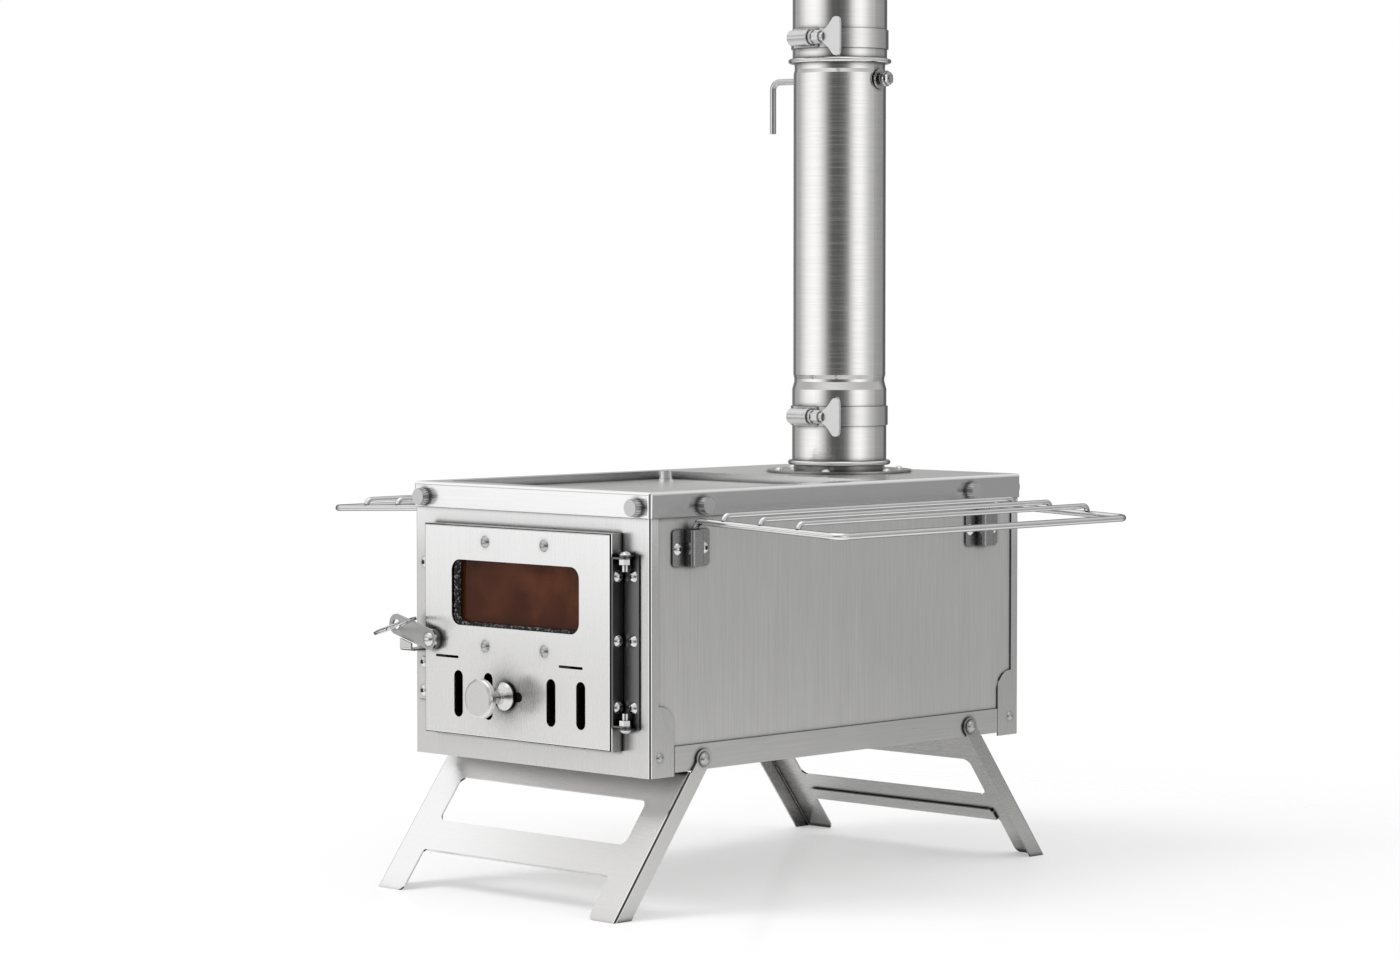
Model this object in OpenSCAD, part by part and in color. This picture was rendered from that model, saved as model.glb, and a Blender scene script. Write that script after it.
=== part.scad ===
// Folding tent wood stove: sheet-steel firebox on two folding legs, a latched door with a
// window and an air slider, two wire side racks, and a clamped flue with a damper.
// Millimetres. +Z is up and the door faces -Y.
// The shapes are set out from the firebox: y = 0 on its front face, z = 0 at its underside.

/* [Firebox] */
// Width of the firebox
body_w = 200; // [180:1:260]
// Length of the firebox, front to back
body_l = 330; // [310:1:420]
// Height of the firebox, underside to the top of the cover
body_h = 164.6; // [160:0.2:210]
// Thickness of the firebox sheet
sheet_t = 0.8; // [0.6:0.1:1.2]
// Width of the side flanges of the front and rear panels
flange_w = 7; // [5:0.5:12]
// Reach of the rounded tab at the foot of each flange
tab_w = 19.7; // [15:0.1:26]
// Height of the rounded tab
tab_h = 41; // [30:0.5:60]
// Height of the tray's side skirts above the underside
tray_h = 17.2; // [12:0.1:24]
// Outer bend radius of the panels
bend_r = 1.6; // [1.3:0.1:3]

/* [Cover] */
// Depth of the cover's rim
rim_h = 15; // [12:0.5:24]
// Width of the flat border round the cooking recess
recess_border = 13; // [10:0.5:25]
// Length of the cooking recess, front to back
recess_l = 190; // [120:1:195]
// Depth of the cooking recess
recess_d = 5; // [2:0.5:10]
// Diameter of the cover's thumb-screw heads
thumb_d = 10; // [8:0.5:12]

/* [Legs] */
// Height of the firebox underside above the floor
leg_drop = 79.5; // [60:0.5:100]
// Splay of each leg from the vertical, in degrees
leg_splay = 37.3; // [25:0.1:45]
// Thickness of the leg sheet
leg_t = 1.2; // [0.8:0.1:2]
// Distance of the front pivot behind the firebox front
front_pivot_y = 43; // [38:1:60]
// Distance of the rear pivot before the firebox back
rear_pivot_gap = 48; // [40:1:60]
// Height of both pivots above the underside
pivot_z = 8.2; // [7:0.1:11]
// Width of each upright of a leg
leg_upright = 22; // [14:1:34]

/* [Door] */
// Distance of the door's hinge side from the firebox's side
hinge_margin = 22.5; // [22:0.5:26]
// Distance of the door's latch side from the firebox's side
latch_margin = 18; // [18:0.5:22]
// Height of the door's lower edge above the underside
door_z = 14.5; // [13:0.5:20]
// Gap between the door and the cover's rim
door_top_gap = 9.1; // [8:0.1:14]
// Distance of the door's face in front of the firebox
door_face = 9.5; // [9:0.1:14]
// Thickness of the door sheet
door_t = 1; // [0.8:0.1:1.5]
// Metal left beside the window
window_border = 25.25; // [24:0.25:40]
// Height of the window as a share of the door's
window_share = 0.311; // [0.2:0.001:0.33]
// Corner radius of the window
window_r = 7; // [3:0.5:12]

/* [Air slider] */
// Width of each air slot
slot_w = 7.6; // [5:0.2:9]
// Height of each air slot as a share of the door's
slot_share = 0.222; // [0.15:0.001:0.23]
// Travel of the slider from open to closed
slide_travel = 11; // [9.5:0.5:12]
// Diameter of the knob's head
knob_d = 23.5; // [16:0.5:26]
// Reach of the knob's face in front of the door
knob_h = 23; // [14:0.5:26]

/* [Latch] */
// Distance between the latch arm's pivot and its ring hole
latch_l = 30; // [26:0.5:32]
// Width of the latch arm
latch_w = 12.5; // [11:0.5:14]
// Rise of the latch arm towards its ring, in degrees
latch_rise = 14.3; // [10:0.1:20]
// Mean diameter of the split ring
ring_d = 26; // [22:1:30]

/* [Racks] */
// Reach of each rack out from the firebox side
rack_reach = 114.5; // [80:0.5:150]
// Diameter of the rack's frame wire
rack_wire = 4; // [3:0.5:4.5]
// Diameter of the rack's three rods
rod_wire = 3.2; // [2:0.1:4]
// Distance of the front bracket behind the firebox front
rack_front_y = 33.7; // [28:0.1:36]
// Distance of the rear bracket before the firebox back
rack_rear_gap = 36; // [30:1:38]
// Fall of the rack outwards, in degrees
rack_fall = 2.3; // [0:0.1:4]

/* [Flue] */
// Outer diameter of the socket end of a flue section
flue_d = 60; // [50:1:76]
// Wall thickness of the flue
flue_t = 0.8; // [0.5:0.1:1.2]
// Length of one flue section
section_l = 302; // [240:1:400]
// Length of the plug that goes up into the next section
plug_l = 48; // [36:1:60]
// Distance of the flue's centre before the firebox back
flue_gap = 58; // [50:1:70]
// Width of the clamp bands
band_w = 12; // [9:0.5:14]
// Span of the butterfly keys on the clamps
key_span = 24; // [16:1:25]
// Diameter of the damper rod
damper_rod_d = 4; // [3:0.5:5]
// Turn of the damper rod away from the firebox's cross line, in degrees
damper_turn = 9; // [0:1:30]

/* [Hidden] */
$fn = 48;

steel = [0.78, 0.78, 0.77];
side_steel = [0.66, 0.66, 0.65];
bright_steel = [0.86, 0.86, 0.86];
dark_steel = [0.42, 0.42, 0.42];
black = [0.08, 0.08, 0.08];
amber = [0.95, 0.55, 0.15, 0.5];

eps = 0.05;          // overlap that welds two shapes of one piece
fit = 0.1;           // gap between fixed sheets that lie on each other
gap = 0.3;           // gap beside anything that moves
run = 0.05;          // radial clearance of a turning shaft
half_w = body_w / 2;

// panel layers, from the outside in
flange_in = half_w - sheet_t;
side_out = flange_in - fit;
side_in = side_out - sheet_t;

// cover
cover_gap = fit;
cover_w = body_w + 2 * (sheet_t + cover_gap);
cover_l = body_l + 2 * (sheet_t + cover_gap);
cover_y = -sheet_t - cover_gap;
plate_z = body_h - sheet_t;
cover_bend = bend_r + 0.6;
panel_top = plate_z - cover_bend + sheet_t - fit;
rim_z = body_h - rim_h;
recess_w = body_w - 2 * recess_border;
recess_floor = body_h - recess_d;
thumb_z = rim_z + 6;
thumb_front_x = half_w - 9.5;
thumb_side_front = 42;
thumb_side_rear = 48.5;
thumb_h = 5.5;
thumb_shank = 4;
thumb_washer_d = thumb_d + 0.6;
thumb_washer_t = 0.7;
nut_l = 4;
nut_d = 8;

// tray
tray_z = 2.1;
tray_lip = 10;
tab_screw_y = 8;
tab_screw_z = 11.5;
tab_screw_d = 3;
small_head_d = 5.6;
small_head_h = 1.7;
rivet_head_d = 7.2;
rivet_head_h = 2;

// fire grate
grate_w = body_w - 18;
grate_l = body_l - 40;
grate_z = tray_z + sheet_t + 14;
grate_t = 1.5;
grate_slot_w = 7;
grate_slot_l = 62;
grate_pitch = 20;

// legs
leg_out = half_w + gap + leg_t;
leg_half_flange = 5.5;
leg_face = leg_half_flange - 0.1;
leg_top_z = tray_z - gap;
leg_top_v = (pivot_z - leg_top_z + leg_face * sin(leg_splay)) / cos(leg_splay);
leg_v = (leg_drop + pivot_z + leg_face * sin(leg_splay)) / cos(leg_splay);
leg_window_top = leg_v * 0.296;
leg_window_bottom = leg_v * 0.563;
leg_bar_bottom = leg_v * 0.741;
hem_h = 8.5;
hem_gap = 0.4;
foot_r = 5;
leg_ear_r = leg_half_flange + 0.3;
leg_pin_d = 4;
leg_front_reach = leg_v * sin(leg_splay) + leg_face * cos(leg_splay);
rear_pivot_y = body_l - rear_pivot_gap;

// door
door_right = half_w - hinge_margin;
door_left = latch_margin - half_w;
door_w = door_right - door_left;
door_top = rim_z - door_top_gap;
door_h = door_top - door_z;
door_back = -fit - gap;
door_in = -door_face + door_t;
aperture_w = door_w - 15;
aperture_left = door_left + 8;
aperture_bottom = door_z + 9;
aperture_top = door_top - 5;
window_x = (door_left + door_right) / 2 - 0.75;
window_w = door_w - 2 * window_border;
window_h = window_share * door_h;
window_z = door_top - 0.32 * door_h;
gasket_t = 4;
gasket_w = 5.4;
glass_t = 3;
glass_margin = 4;
glass_front = door_in + gasket_t;
frame_t = 0.8;
frame_y = glass_front + glass_t;
frame_w = window_w + 2 * glass_margin + 6;
glass_screw_x = 0.158 * door_w;
glass_screw_z = window_h / 2 + 0.09 * door_h;
glass_screw_d = 3;

// air slider
slot_h = slot_share * door_h;
slot_z = door_z + 0.1985 * door_h;
slot_x = [for (part = [-0.305, -0.142, 0.194, 0.35]) part * door_w];
knob_slot_end = 3.6;
slit_w = 20;
slit_t = 1.6;
slit_x = [-0.367 * door_w, 0.298 * door_w];
slit_z = slot_z + 0.173 * door_h;
shutter_t = 1;
shutter_y = door_in + gap;
shutter_bottom = slot_z - slot_h / 2 - 5;
shutter_top = slot_z + slot_h / 2 + 5;
shutter_left = slot_x[0] - slot_w / 2 - slide_travel - 4;
shutter_right = slot_x[3] + slot_w / 2 + 4;
slider_tab_w = slit_w - slide_travel - 1;
knob_x = window_x + knob_slot_end - slide_travel;
knob_z = slot_z + 1.2;
knob_stem_d = 5;
knob_flange_d = 16.7;
knob_y = -door_face - gap;
guide_t = 1;

// hinge
hinge_x = door_right + 7.5;
hinge_y = -5;
pin_d = 4;
hinge_top = door_top - 12.2;
hinge_bottom = door_z + 13.2;
leaf_t = 1;
leaf_w = 10.5;
ear_r = 3.6;
rivet_z = [hinge_top - 12.5, (hinge_top + hinge_bottom) / 2 + 0.5, hinge_bottom + 12.3];
rivet_d = 3;
pin_head_d = 7;
pin_head_h = 2.2;
pin_l = 9.5;
hinge_nut_h = 3.2;
hinge_nut_d = 7.2;

// latch
latch_x = door_left + 9.5;
latch_z = door_z + 0.4484 * door_h;
latch_t = 1.2;
latch_back = -door_face - 4;
latch_pin_d = 5;
latch_head_d = 8.4;
ring_hole_d = 6;
ring_wire = 1.8;
ring_hole_x = latch_x - latch_l * cos(latch_rise);
ring_hole_z = latch_z + latch_l * sin(latch_rise);
ring_hole_y = latch_back - latch_t / 2;
// the ring runs through its hole along ring_run and lies towards ring_lie
ring_run = [0.676, 0.653, 0.342];
ring_lie = [0.695, -0.719, 0];
ring_mid = [ring_hole_x, ring_hole_y, ring_hole_z] + ring_lie * ring_d / 2;
ring_turn = atan2(ring_run[1], ring_run[0]);
ring_tilt = asin(ring_run[2]);
keeper_x = door_left - 9.4;
keeper_w = 10;
keeper_t = 1.2;
keeper_web_z = latch_z - 8;
keeper_foot_z = keeper_web_z - 30;
keeper_lip_y = latch_back - latch_t - 0.4;
keeper_rivet_z = [keeper_web_z - 7.6, keeper_web_z - 25];

// racks
bracket_z = rim_z - 28.6;
bracket_h = 21;
bracket_t = 1;
bracket_w = 30.5;
channel_w = 10.3;
wire_x = half_w + sheet_t + cover_gap + gap + rack_wire / 2;
channel_out = wire_x + rack_wire / 2 + gap + bracket_t;
wire_bend = 5;
rack_arm_z = bracket_z + bracket_h + wire_bend - 0.2;
rack_foot_z = bracket_z + bracket_t + gap;
rack_corner = 7;
rack_rear_y = body_l - rack_rear_gap;
rod_x = [for (part = [0.223, 0.475, 0.729]) part * rack_reach];
rod_rise = 5;
bracket_rivet_z = bracket_z + 10;
bracket_rivet_dy = 10.75;

// flue
flue_y = body_l - flue_gap;
flue_r = flue_d / 2;
wall_r = flue_r - 0.7;
groove_r = wall_r - 0.6;
plug_r = flue_r - flue_t - gap;
collar_disc_d = flue_d + 32;
collar_disc_t = 1.5;
collar_screw_r = flue_r + 10;
bead_r = 1.5;
damper_pipe_z = body_h + 4.6;
section_pitch = section_l - plug_l;
upper_pipe_z = damper_pipe_z + section_pitch;
lower_band_z = damper_pipe_z + 25.3;
upper_band_z = upper_pipe_z + 9;
band_t = 0.8;
band_r = flue_r + fit + band_t;
screw_y = band_r + 5.2;
housing_r = 5;
housing_l = 16.5;
housing_end = 8.5;
worm_r = 3.4;
damper_z = upper_pipe_z - 10.2;
rod_r = damper_rod_d / 2;
plate_r = plug_r - flue_t - 2;
plate_t = 1.2;
handle_x = 51;
handle_l = 33;
handle_bend = 5;
washer_x = wall_r + gap;
spring_wire = 0.8;
spring_r = 3.5;
spring_turns = 2;
spring_x = washer_x + 1 + fit;
spring_l = 4;
nut_x = spring_x + spring_l + fit;

// the origin is on the floor, under the middle of the part's length
ring_flat = sqrt(1 - pow(cross(ring_run, ring_lie)[1], 2));
ring_front = ring_mid[1] - ring_flat * ring_d / 2 - ring_wire / 2;
feet_rear = rear_pivot_y + leg_front_reach;
feet_front = front_pivot_y - leg_front_reach;
frame_mid_y = (min(ring_front, feet_front) + feet_rear) / 2;

module placed() {
    translate([0, -frame_mid_y, leg_drop])
        children();
}

module both_sides() {
    children();
    mirror([1, 0, 0])
        children();
}

// plate standing across the part: the 2-D shape is drawn in x and z, from y to y + t
module across(y, t) {
    translate([0, y + t, 0])
        rotate([90, 0, 0])
            linear_extrude(t)
                children();
}

// plate standing along the part: the 2-D shape is drawn in y and z, from x to x + t
module along(x, t) {
    translate([x, 0, 0])
        rotate([90, 0, 90])
            linear_extrude(t)
                children();
}

// round bar along X, from x to x + l
module bar_x(x, y, z, l, r) {
    translate([x, y, z])
        rotate([0, 90, 0])
            cylinder(h = l, r = r);
}

// round bar along Y, from y to y + l
module bar_y(x, y, z, l, r) {
    translate([x, y, z])
        rotate([-90, 0, 0])
            cylinder(h = l, r = r);
}

module rounded(w, h, r) {
    square([w - 2 * r, h], center = true);
    square([w, h - 2 * r], center = true);
    for (x = [-1, 1], y = [-1, 1])
        translate([x * (w / 2 - r), y * (h / 2 - r)])
            circle(r);
}

module rounded_at(x0, y0, x1, y1, r) {
    translate([(x0 + x1) / 2, (y0 + y1) / 2])
        rounded(x1 - x0, y1 - y0, r);
}

module slot_2d(w, h) {
    square([w, h - w], center = true);
    for (y = [-1, 1])
        translate([0, y * (h - w) / 2])
            circle(w / 2);
}

// domed head on z = 0
module dome(d, h) {
    sphere_r = (d * d / 4 + h * h) / (2 * h);
    intersection() {
        translate([0, 0, h - sphere_r])
            sphere(sphere_r, $fn = 64);
        cylinder(h = h, d = d);
    }
}

// blind rivet along -Z: a hollow dome above z = 0, a shank, and an upset tail below the grip
module rivet(grip) {
    difference() {
        dome(rivet_head_d, rivet_head_h);
        translate([0, 0, rivet_head_h - 1.2])
            cylinder(h = 2, d = rivet_d - 0.4);
    }
    translate([0, 0, -grip - eps])
        cylinder(h = grip + 2 * eps, d = rivet_d);
    translate([0, 0, -grip - 1.2])
        cylinder(h = 1.2, d = rivet_d + 1.6);
}

module facing_front(x, y, z) {
    translate([x, y, z])
        rotate([90, 0, 0])
            children();
}

module facing_right(x, y, z) {
    translate([x, y, z])
        rotate([0, 90, 0])
            children();
}

// hollow folded box, open at y = depth: front face at y = 0, all four walls folded back
module folded_shell(x0, z0, x1, z1, y0, depth, t, r) {
    difference() {
        folded_block(x0, z0, x1, z1, y0, depth, r);
        folded_block(x0 + t, z0 + t, x1 - t, z1 - t, y0 + t, depth, r - t);
    }
}

module folded_block(x0, z0, x1, z1, y0, depth, r) {
    intersection() {
        translate([0, 0, z0])
            linear_extrude(z1 - z0)
                folded_edge(x0, x1, y0, depth, r);
        along(x0, x1 - x0)
            rotate(90)
                mirror([0, 1])
                    folded_edge(z0, z1, y0, depth, r);
    }
}

// block from a to b whose two corners at y0 are rounded
module folded_edge(a, b, y0, depth, r) {
    translate([a, y0 + r])
        square([b - a, depth - r]);
    translate([a + r, y0])
        square([b - a - 2 * r, r + eps]);
    for (x = [a + r, b - r])
        translate([x, y0 + r])
            circle(r);
}

// ---- firebox -----------------------------------------------------------------------------

// end panel, drawn as the front one: a folded U with rounded tabs at the foot of its flanges
module end_panel() {
    difference() {
        linear_extrude(panel_top)
            difference() {
                folded_edge(-half_w, half_w, 0, tab_w, bend_r);
                folded_edge(-flange_in, flange_in, sheet_t, tab_w, bend_r - sheet_t);
            }
        both_sides()
            along(half_w - 3, 4)
                difference() {
                    translate([flange_w, -1])
                        square([tab_w, panel_top + 2]);
                    tab_outline();
                }
        both_sides()
            bar_x(half_w - 5, tab_screw_y, tab_screw_z, 10, tab_screw_d / 2 + fit);
        both_sides()
            bar_y(thumb_front_x, -1, thumb_z, 3, thumb_shank / 2 + fit);
    }
}

module tab_outline() {
    tab_r = tab_w - flange_w - 0.7;
    square([tab_w, tab_h - tab_r]);
    square([tab_w - tab_r, tab_h]);
    translate([tab_w - tab_r, tab_h - tab_r])
        circle(tab_r);
}

module front_panel() {
    color(steel)
        placed()
            difference() {
                end_panel();
                across(-1, 3)
                    rounded_at(aperture_left, aperture_bottom, aperture_left + aperture_w, aperture_top, 4);
                for (z = rivet_z)
                    bar_y(hinge_x + 2, -1, z, 3, rivet_d / 2 + fit);
                for (z = concat(keeper_rivet_z, rivet_z[0]))
                    bar_y(keeper_x, -1, z, 3, rivet_d / 2 + fit);
            }
}

module rear_panel() {
    color(steel)
        placed()
            translate([0, body_l, 0])
                mirror([0, 1, 0])
                    end_panel();
}

// right side panel; the left one is its mirror
module side_panel() {
    difference() {
        translate([side_in, 2 * sheet_t, tray_z + sheet_t + fit])
            cube([sheet_t, body_l - 4 * sheet_t, panel_top - tray_z - sheet_t - fit]);
        for (y = [tab_screw_y, body_l - tab_screw_y])
            bar_x(side_in - 1, y, tab_screw_z, 4, tab_screw_d / 2 + fit);
        for (y = [front_pivot_y, rear_pivot_y])
            bar_x(side_in - 1, y, pivot_z, 4, leg_pin_d / 2 + fit);
        for (y = [thumb_side_front, body_l - thumb_side_rear])
            bar_x(side_in - 1, y, thumb_z, 4, thumb_shank / 2 + fit);
        for (y = [rack_front_y, rack_rear_y], side = [-1, 1])
            bar_x(side_in - 1, y + side * bracket_rivet_dy, bracket_rivet_z, 4, rivet_d / 2 + fit);
    }
}

module right_side_panel() {
    color(side_steel)
        placed()
            side_panel();
}

module left_side_panel() {
    color(side_steel)
        placed()
            mirror([1, 0, 0])
                side_panel();
}

module bottom_tray() {
    skirt_y = tab_w + 0.5;
    end_y = sheet_t + fit;
    color(side_steel)
        placed()
            difference() {
                union() {
                    translate([-side_in + fit, end_y, tray_z])
                        cube([2 * (side_in - fit), body_l - 2 * end_y, sheet_t]);
                    both_sides()
                        translate([0, skirt_y, tray_z])
                            cube([half_w - eps, body_l - 2 * skirt_y, sheet_t]);
                    both_sides()
                        translate([flange_in, skirt_y, tray_z])
                            cube([sheet_t, body_l - 2 * skirt_y, tray_h - tray_z]);
                    for (y = [end_y, body_l - end_y - sheet_t])
                        translate([-side_in + 2, y, tray_z])
                            cube([2 * side_in - 4, sheet_t, tray_lip]);
                }
                both_sides()
                    for (y = [front_pivot_y, rear_pivot_y])
                        bar_x(half_w - 5, y, pivot_z, 10, leg_pin_d / 2 + fit);
            }
}

// rounded block of the cover: its top and its upright corners are rounded
module cover_block(w, y0, l, z0, top, r) {
    intersection() {
        translate([0, y0 + l / 2, z0])
            linear_extrude(top - z0)
                rounded(w, l, r);
        translate([0, y0 - 1, 0])
            across(0, l + 2)
                mirror([0, 1])
                    translate([0, -top])
                        folded_edge(-w / 2, w / 2, 0, top - z0, r);
        along(-w / 2 - 1, w + 2)
            mirror([0, 1])
                translate([0, -top])
                    folded_edge(y0, y0 + l, 0, top - z0, r);
    }
}

module top_cover() {
    r = cover_bend;
    recess_y = recess_border;
    color(steel)
        placed()
            difference() {
                union() {
                    difference() {
                        cover_block(cover_w, cover_y, cover_l, rim_z, body_h, r);
                        cover_block(cover_w - 2 * sheet_t, cover_y + sheet_t, cover_l - 2 * sheet_t,
                            rim_z - 1, plate_z, r - sheet_t);
                    }
                    translate([0, 0, recess_floor - sheet_t])
                        linear_extrude(recess_d)
                            rounded_at(-recess_w / 2 - sheet_t, recess_y - sheet_t, recess_w / 2 + sheet_t,
                                recess_y + recess_l + sheet_t, 8 + sheet_t);
                }
                translate([0, 0, recess_floor])
                    linear_extrude(recess_d + 1)
                        rounded_at(-recess_w / 2, recess_y, recess_w / 2, recess_y + recess_l, 8);
                translate([0, flue_y, plate_z - 1])
                    cylinder(h = 3, r = plug_r + gap);
                for (a = [0:60:300])
                    translate([0, flue_y, plate_z - 1])
                        rotate(a)
                            translate([collar_screw_r, 0, 0])
                                cylinder(h = 3, r = tab_screw_d / 2 + fit);
                both_sides() {
                    for (y = [cover_y - 1, body_l - 1])
                        bar_y(thumb_front_x, y, thumb_z, 3, thumb_shank / 2 + fit);
                    for (y = [thumb_side_front, body_l - thumb_side_rear])
                        bar_x(half_w - 1, y, thumb_z, 3, thumb_shank / 2 + fit);
                }
            }
}

// thumb screw along +Z from the sheet's outer face: washer, knurled head, shank inwards
module thumb_screw(inside) {
    ridge = 0.4;
    ridges = 20;
    cylinder(h = thumb_washer_t, d = thumb_washer_d);
    translate([0, 0, thumb_washer_t - eps])
        cylinder(h = thumb_h, d = thumb_d - ridge);
    for (a = [0:360 / ridges:359])
        rotate(a)
            translate([thumb_d / 2 - ridge, -0.45, thumb_washer_t + 0.4])
                cube([ridge, 0.9, thumb_h - 0.9]);
    translate([0, 0, -inside])
        cylinder(h = inside + eps, d = thumb_shank);
}

// at the cover's outer faces, or deeper by end_depth on the ends and side_depth on the sides
module at_thumb_screws(end_depth = 0, side_depth = 0) {
    both_sides() {
        translate([thumb_front_x, cover_y + end_depth, thumb_z])
            rotate([90, 0, 0])
                children();
        translate([thumb_front_x, cover_y + cover_l - end_depth, thumb_z])
            rotate([-90, 0, 0])
                children();
        for (y = [thumb_side_front, body_l - thumb_side_rear])
            translate([cover_w / 2 - side_depth, y, thumb_z])
                rotate([0, 90, 0])
                    children();
    }
}

module cover_screws() {
    color(bright_steel)
        placed()
            at_thumb_screws()
                thumb_screw(8);
}

module at_tab_screws() {
    both_sides()
        for (y = [tab_screw_y, body_l - tab_screw_y])
            facing_right(half_w, y, tab_screw_z)
                children();
}

module corner_tab_screws() {
    color(bright_steel)
        placed()
            at_tab_screws() {
                dome(small_head_d, small_head_h);
                translate([0, 0, -6])
                    cylinder(h = 6 + eps, d = tab_screw_d);
            }
}

module clinch_nuts() {
    end_depth = 2 * sheet_t + cover_gap;
    side_depth = cover_w / 2 - side_in;
    color(dark_steel)
        placed() {
            at_thumb_screws(end_depth, side_depth)
                translate([0, 0, -nut_l])
                    clinch_nut(thumb_shank);
            at_tab_screws()
                translate([0, 0, -2 * sheet_t - fit - nut_l + 1])
                    clinch_nut(tab_screw_d, nut_l - 1);
        }
}

module clinch_nut(bore, l = nut_l) {
    difference() {
        cylinder(h = l, d = bore + 3.6, $fn = 6);
        translate([0, 0, -1])
            cylinder(h = l + 2, d = bore + 0.04);
    }
}

// loose plate on folded side legs, with two rows of slots
module fire_grate() {
    rows = [-1, 1];
    count = floor((grate_l - 40) / grate_pitch);
    color(dark_steel)
        placed()
            translate([0, body_l / 2, 0])
                difference() {
                    union() {
                        translate([-grate_w / 2, -grate_l / 2, grate_z])
                            cube([grate_w, grate_l, grate_t]);
                        both_sides()
                            translate([grate_w / 2 - grate_t, -grate_l / 2, tray_z + sheet_t])
                                cube([grate_t, grate_l, grate_z - tray_z - sheet_t + eps]);
                    }
                    for (row = rows, i = [0:count])
                        translate([row * grate_w / 4.4, (i - count / 2) * grate_pitch, grate_z - 1])
                            linear_extrude(grate_t + 2)
                                rotate(90)
                                    slot_2d(grate_slot_w, grate_slot_l);
                    both_sides()
                        translate([grate_w / 2 - 4, -grate_l / 2 + 25, -1])
                            cube([8, grate_l - 50, grate_z - 2]);
                }
}

// ---- legs --------------------------------------------------------------------------------

// leg hanging straight down from its pivot, its bar hemmed behind; its outer face looks to -Y
module leg_straight() {
    hem_half = leg_out - leg_upright - 1;
    difference() {
        union() {
            translate([0, 0, -leg_v - 20])
                linear_extrude(leg_v + 20 - leg_top_v)
                    difference() {
                        leg_section(leg_out, -leg_face, bend_r);
                        leg_section(leg_out - leg_t, -leg_face + leg_t, bend_r - leg_t);
                    }
            both_sides()
                along(leg_out - leg_t, leg_t) {
                    translate([-leg_face + bend_r, -leg_top_v - 2])
                        square([2 * leg_half_flange - bend_r - 0.1, leg_top_v + 2 - 1]);
                    circle(leg_ear_r);
                }
            translate([-hem_half, -leg_face, -leg_bar_bottom])
                cube([2 * hem_half, 2 * leg_t + hem_gap, leg_t]);
            across(-leg_face + leg_t + hem_gap, leg_t) {
                rounded_at(-hem_half, -leg_bar_bottom, hem_half, hem_h - leg_bar_bottom, 3);
                translate([-hem_half, -leg_bar_bottom])
                    square([2 * hem_half, 4]);
            }
        }
        across(-leg_face - 1, leg_t + 2)
            rounded_at(-leg_out + leg_upright, -leg_window_bottom, leg_out - leg_upright, -leg_window_top, 5);
        across(-leg_face - 1, leg_t + 2)
            translate([0, -leg_bar_bottom - leg_v])
                rounded(2 * (leg_out - leg_upright), 2 * leg_v, 3);
        both_sides() {
            bar_x(leg_out - 3, 0, 0, 5, leg_pin_d / 2 + run);
            across(-leg_face - 1, leg_t + 2)
                translate([leg_out - leg_upright, -leg_v])
                    difference() {
                        translate([-1, -5])
                            square([foot_r + 1, foot_r + 5]);
                        translate([foot_r, foot_r])
                            circle(foot_r);
                    }
        }
    }
}

module leg_section(half, y0, r) {
    folded_edge(-half, half, y0, 2 * leg_half_flange, r);
}

module front_leg_rest() {
    translate([0, front_pivot_y, pivot_z])
        difference() {
            rotate([-leg_splay, 0, 0])
                leg_straight();
            translate([-body_w, -body_l, -2 * leg_drop - pivot_z])
                cube([2 * body_w, 2 * body_l, leg_drop]);
        }
}

module front_leg() {
    color(steel)
        placed()
            front_leg_rest();
}

module rear_leg() {
    color(side_steel)
        placed()
            translate([0, front_pivot_y + rear_pivot_y, 0])
                mirror([0, 1, 0])
                    front_leg_rest();
}

module at_leg_pivots() {
    both_sides()
        for (y = [front_pivot_y, rear_pivot_y])
            facing_right(leg_out, y, pivot_z)
                children();
}

// domed screw through the leg's ear, the skirt and the side panel
module leg_pivot_screws() {
    color(bright_steel)
        placed()
            at_leg_pivots() {
                translate([0, 0, fit])
                    cylinder(h = 0.7, d = 8.8);
                translate([0, 0, fit + 0.65])
                    dome(7, 2.1);
                translate([0, 0, -10])
                    cylinder(h = 10 + fit + eps, d = leg_pin_d);
            }
}

module leg_pivot_nuts() {
    color(dark_steel)
        placed()
            at_leg_pivots()
                translate([0, 0, -leg_out + side_in - 3.2])
                    clinch_nut(leg_pin_d, 3.2);
}

// ---- door --------------------------------------------------------------------------------

module at_glass_screws() {
    for (x = [-1, 1], z = [-1, 1])
        translate([window_x + x * glass_screw_x, 0, window_z + z * glass_screw_z])
            children();
}

module door_skin() {
    color(steel)
        placed()
            difference() {
                folded_shell(door_left, door_z, door_right, door_top, -door_face,
                    door_face + door_back, door_t, bend_r);
                across(-door_face - 1, door_t + 2) {
                    translate([window_x, window_z])
                        rounded(window_w, window_h, window_r);
                    for (x = slot_x)
                        translate([window_x + x, slot_z])
                            slot_2d(slot_w, slot_h);
                    rounded_at(knob_x - knob_stem_d / 2 - 0.4, knob_z - knob_stem_d / 2 - 0.4,
                        knob_x + slide_travel + knob_stem_d / 2 + 0.4, knob_z + knob_stem_d / 2 + 0.4,
                        knob_stem_d / 2 + 0.39);
                    for (x = slit_x)
                        translate([window_x + x, slit_z])
                            rounded(slit_w, slit_t, slit_t / 2 - 0.01);
                }
                at_glass_screws()
                    bar_y(0, -door_face - 1, 0, door_t + 2, glass_screw_d / 2 + fit);
                bar_y(latch_x, -door_face - 1, latch_z, door_t + 2, latch_pin_d / 2 + fit);
                for (z = rivet_z)
                    bar_x(door_right - 3, hinge_y + 1, z, 5, rivet_d / 2 + fit);
            }
}

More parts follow.
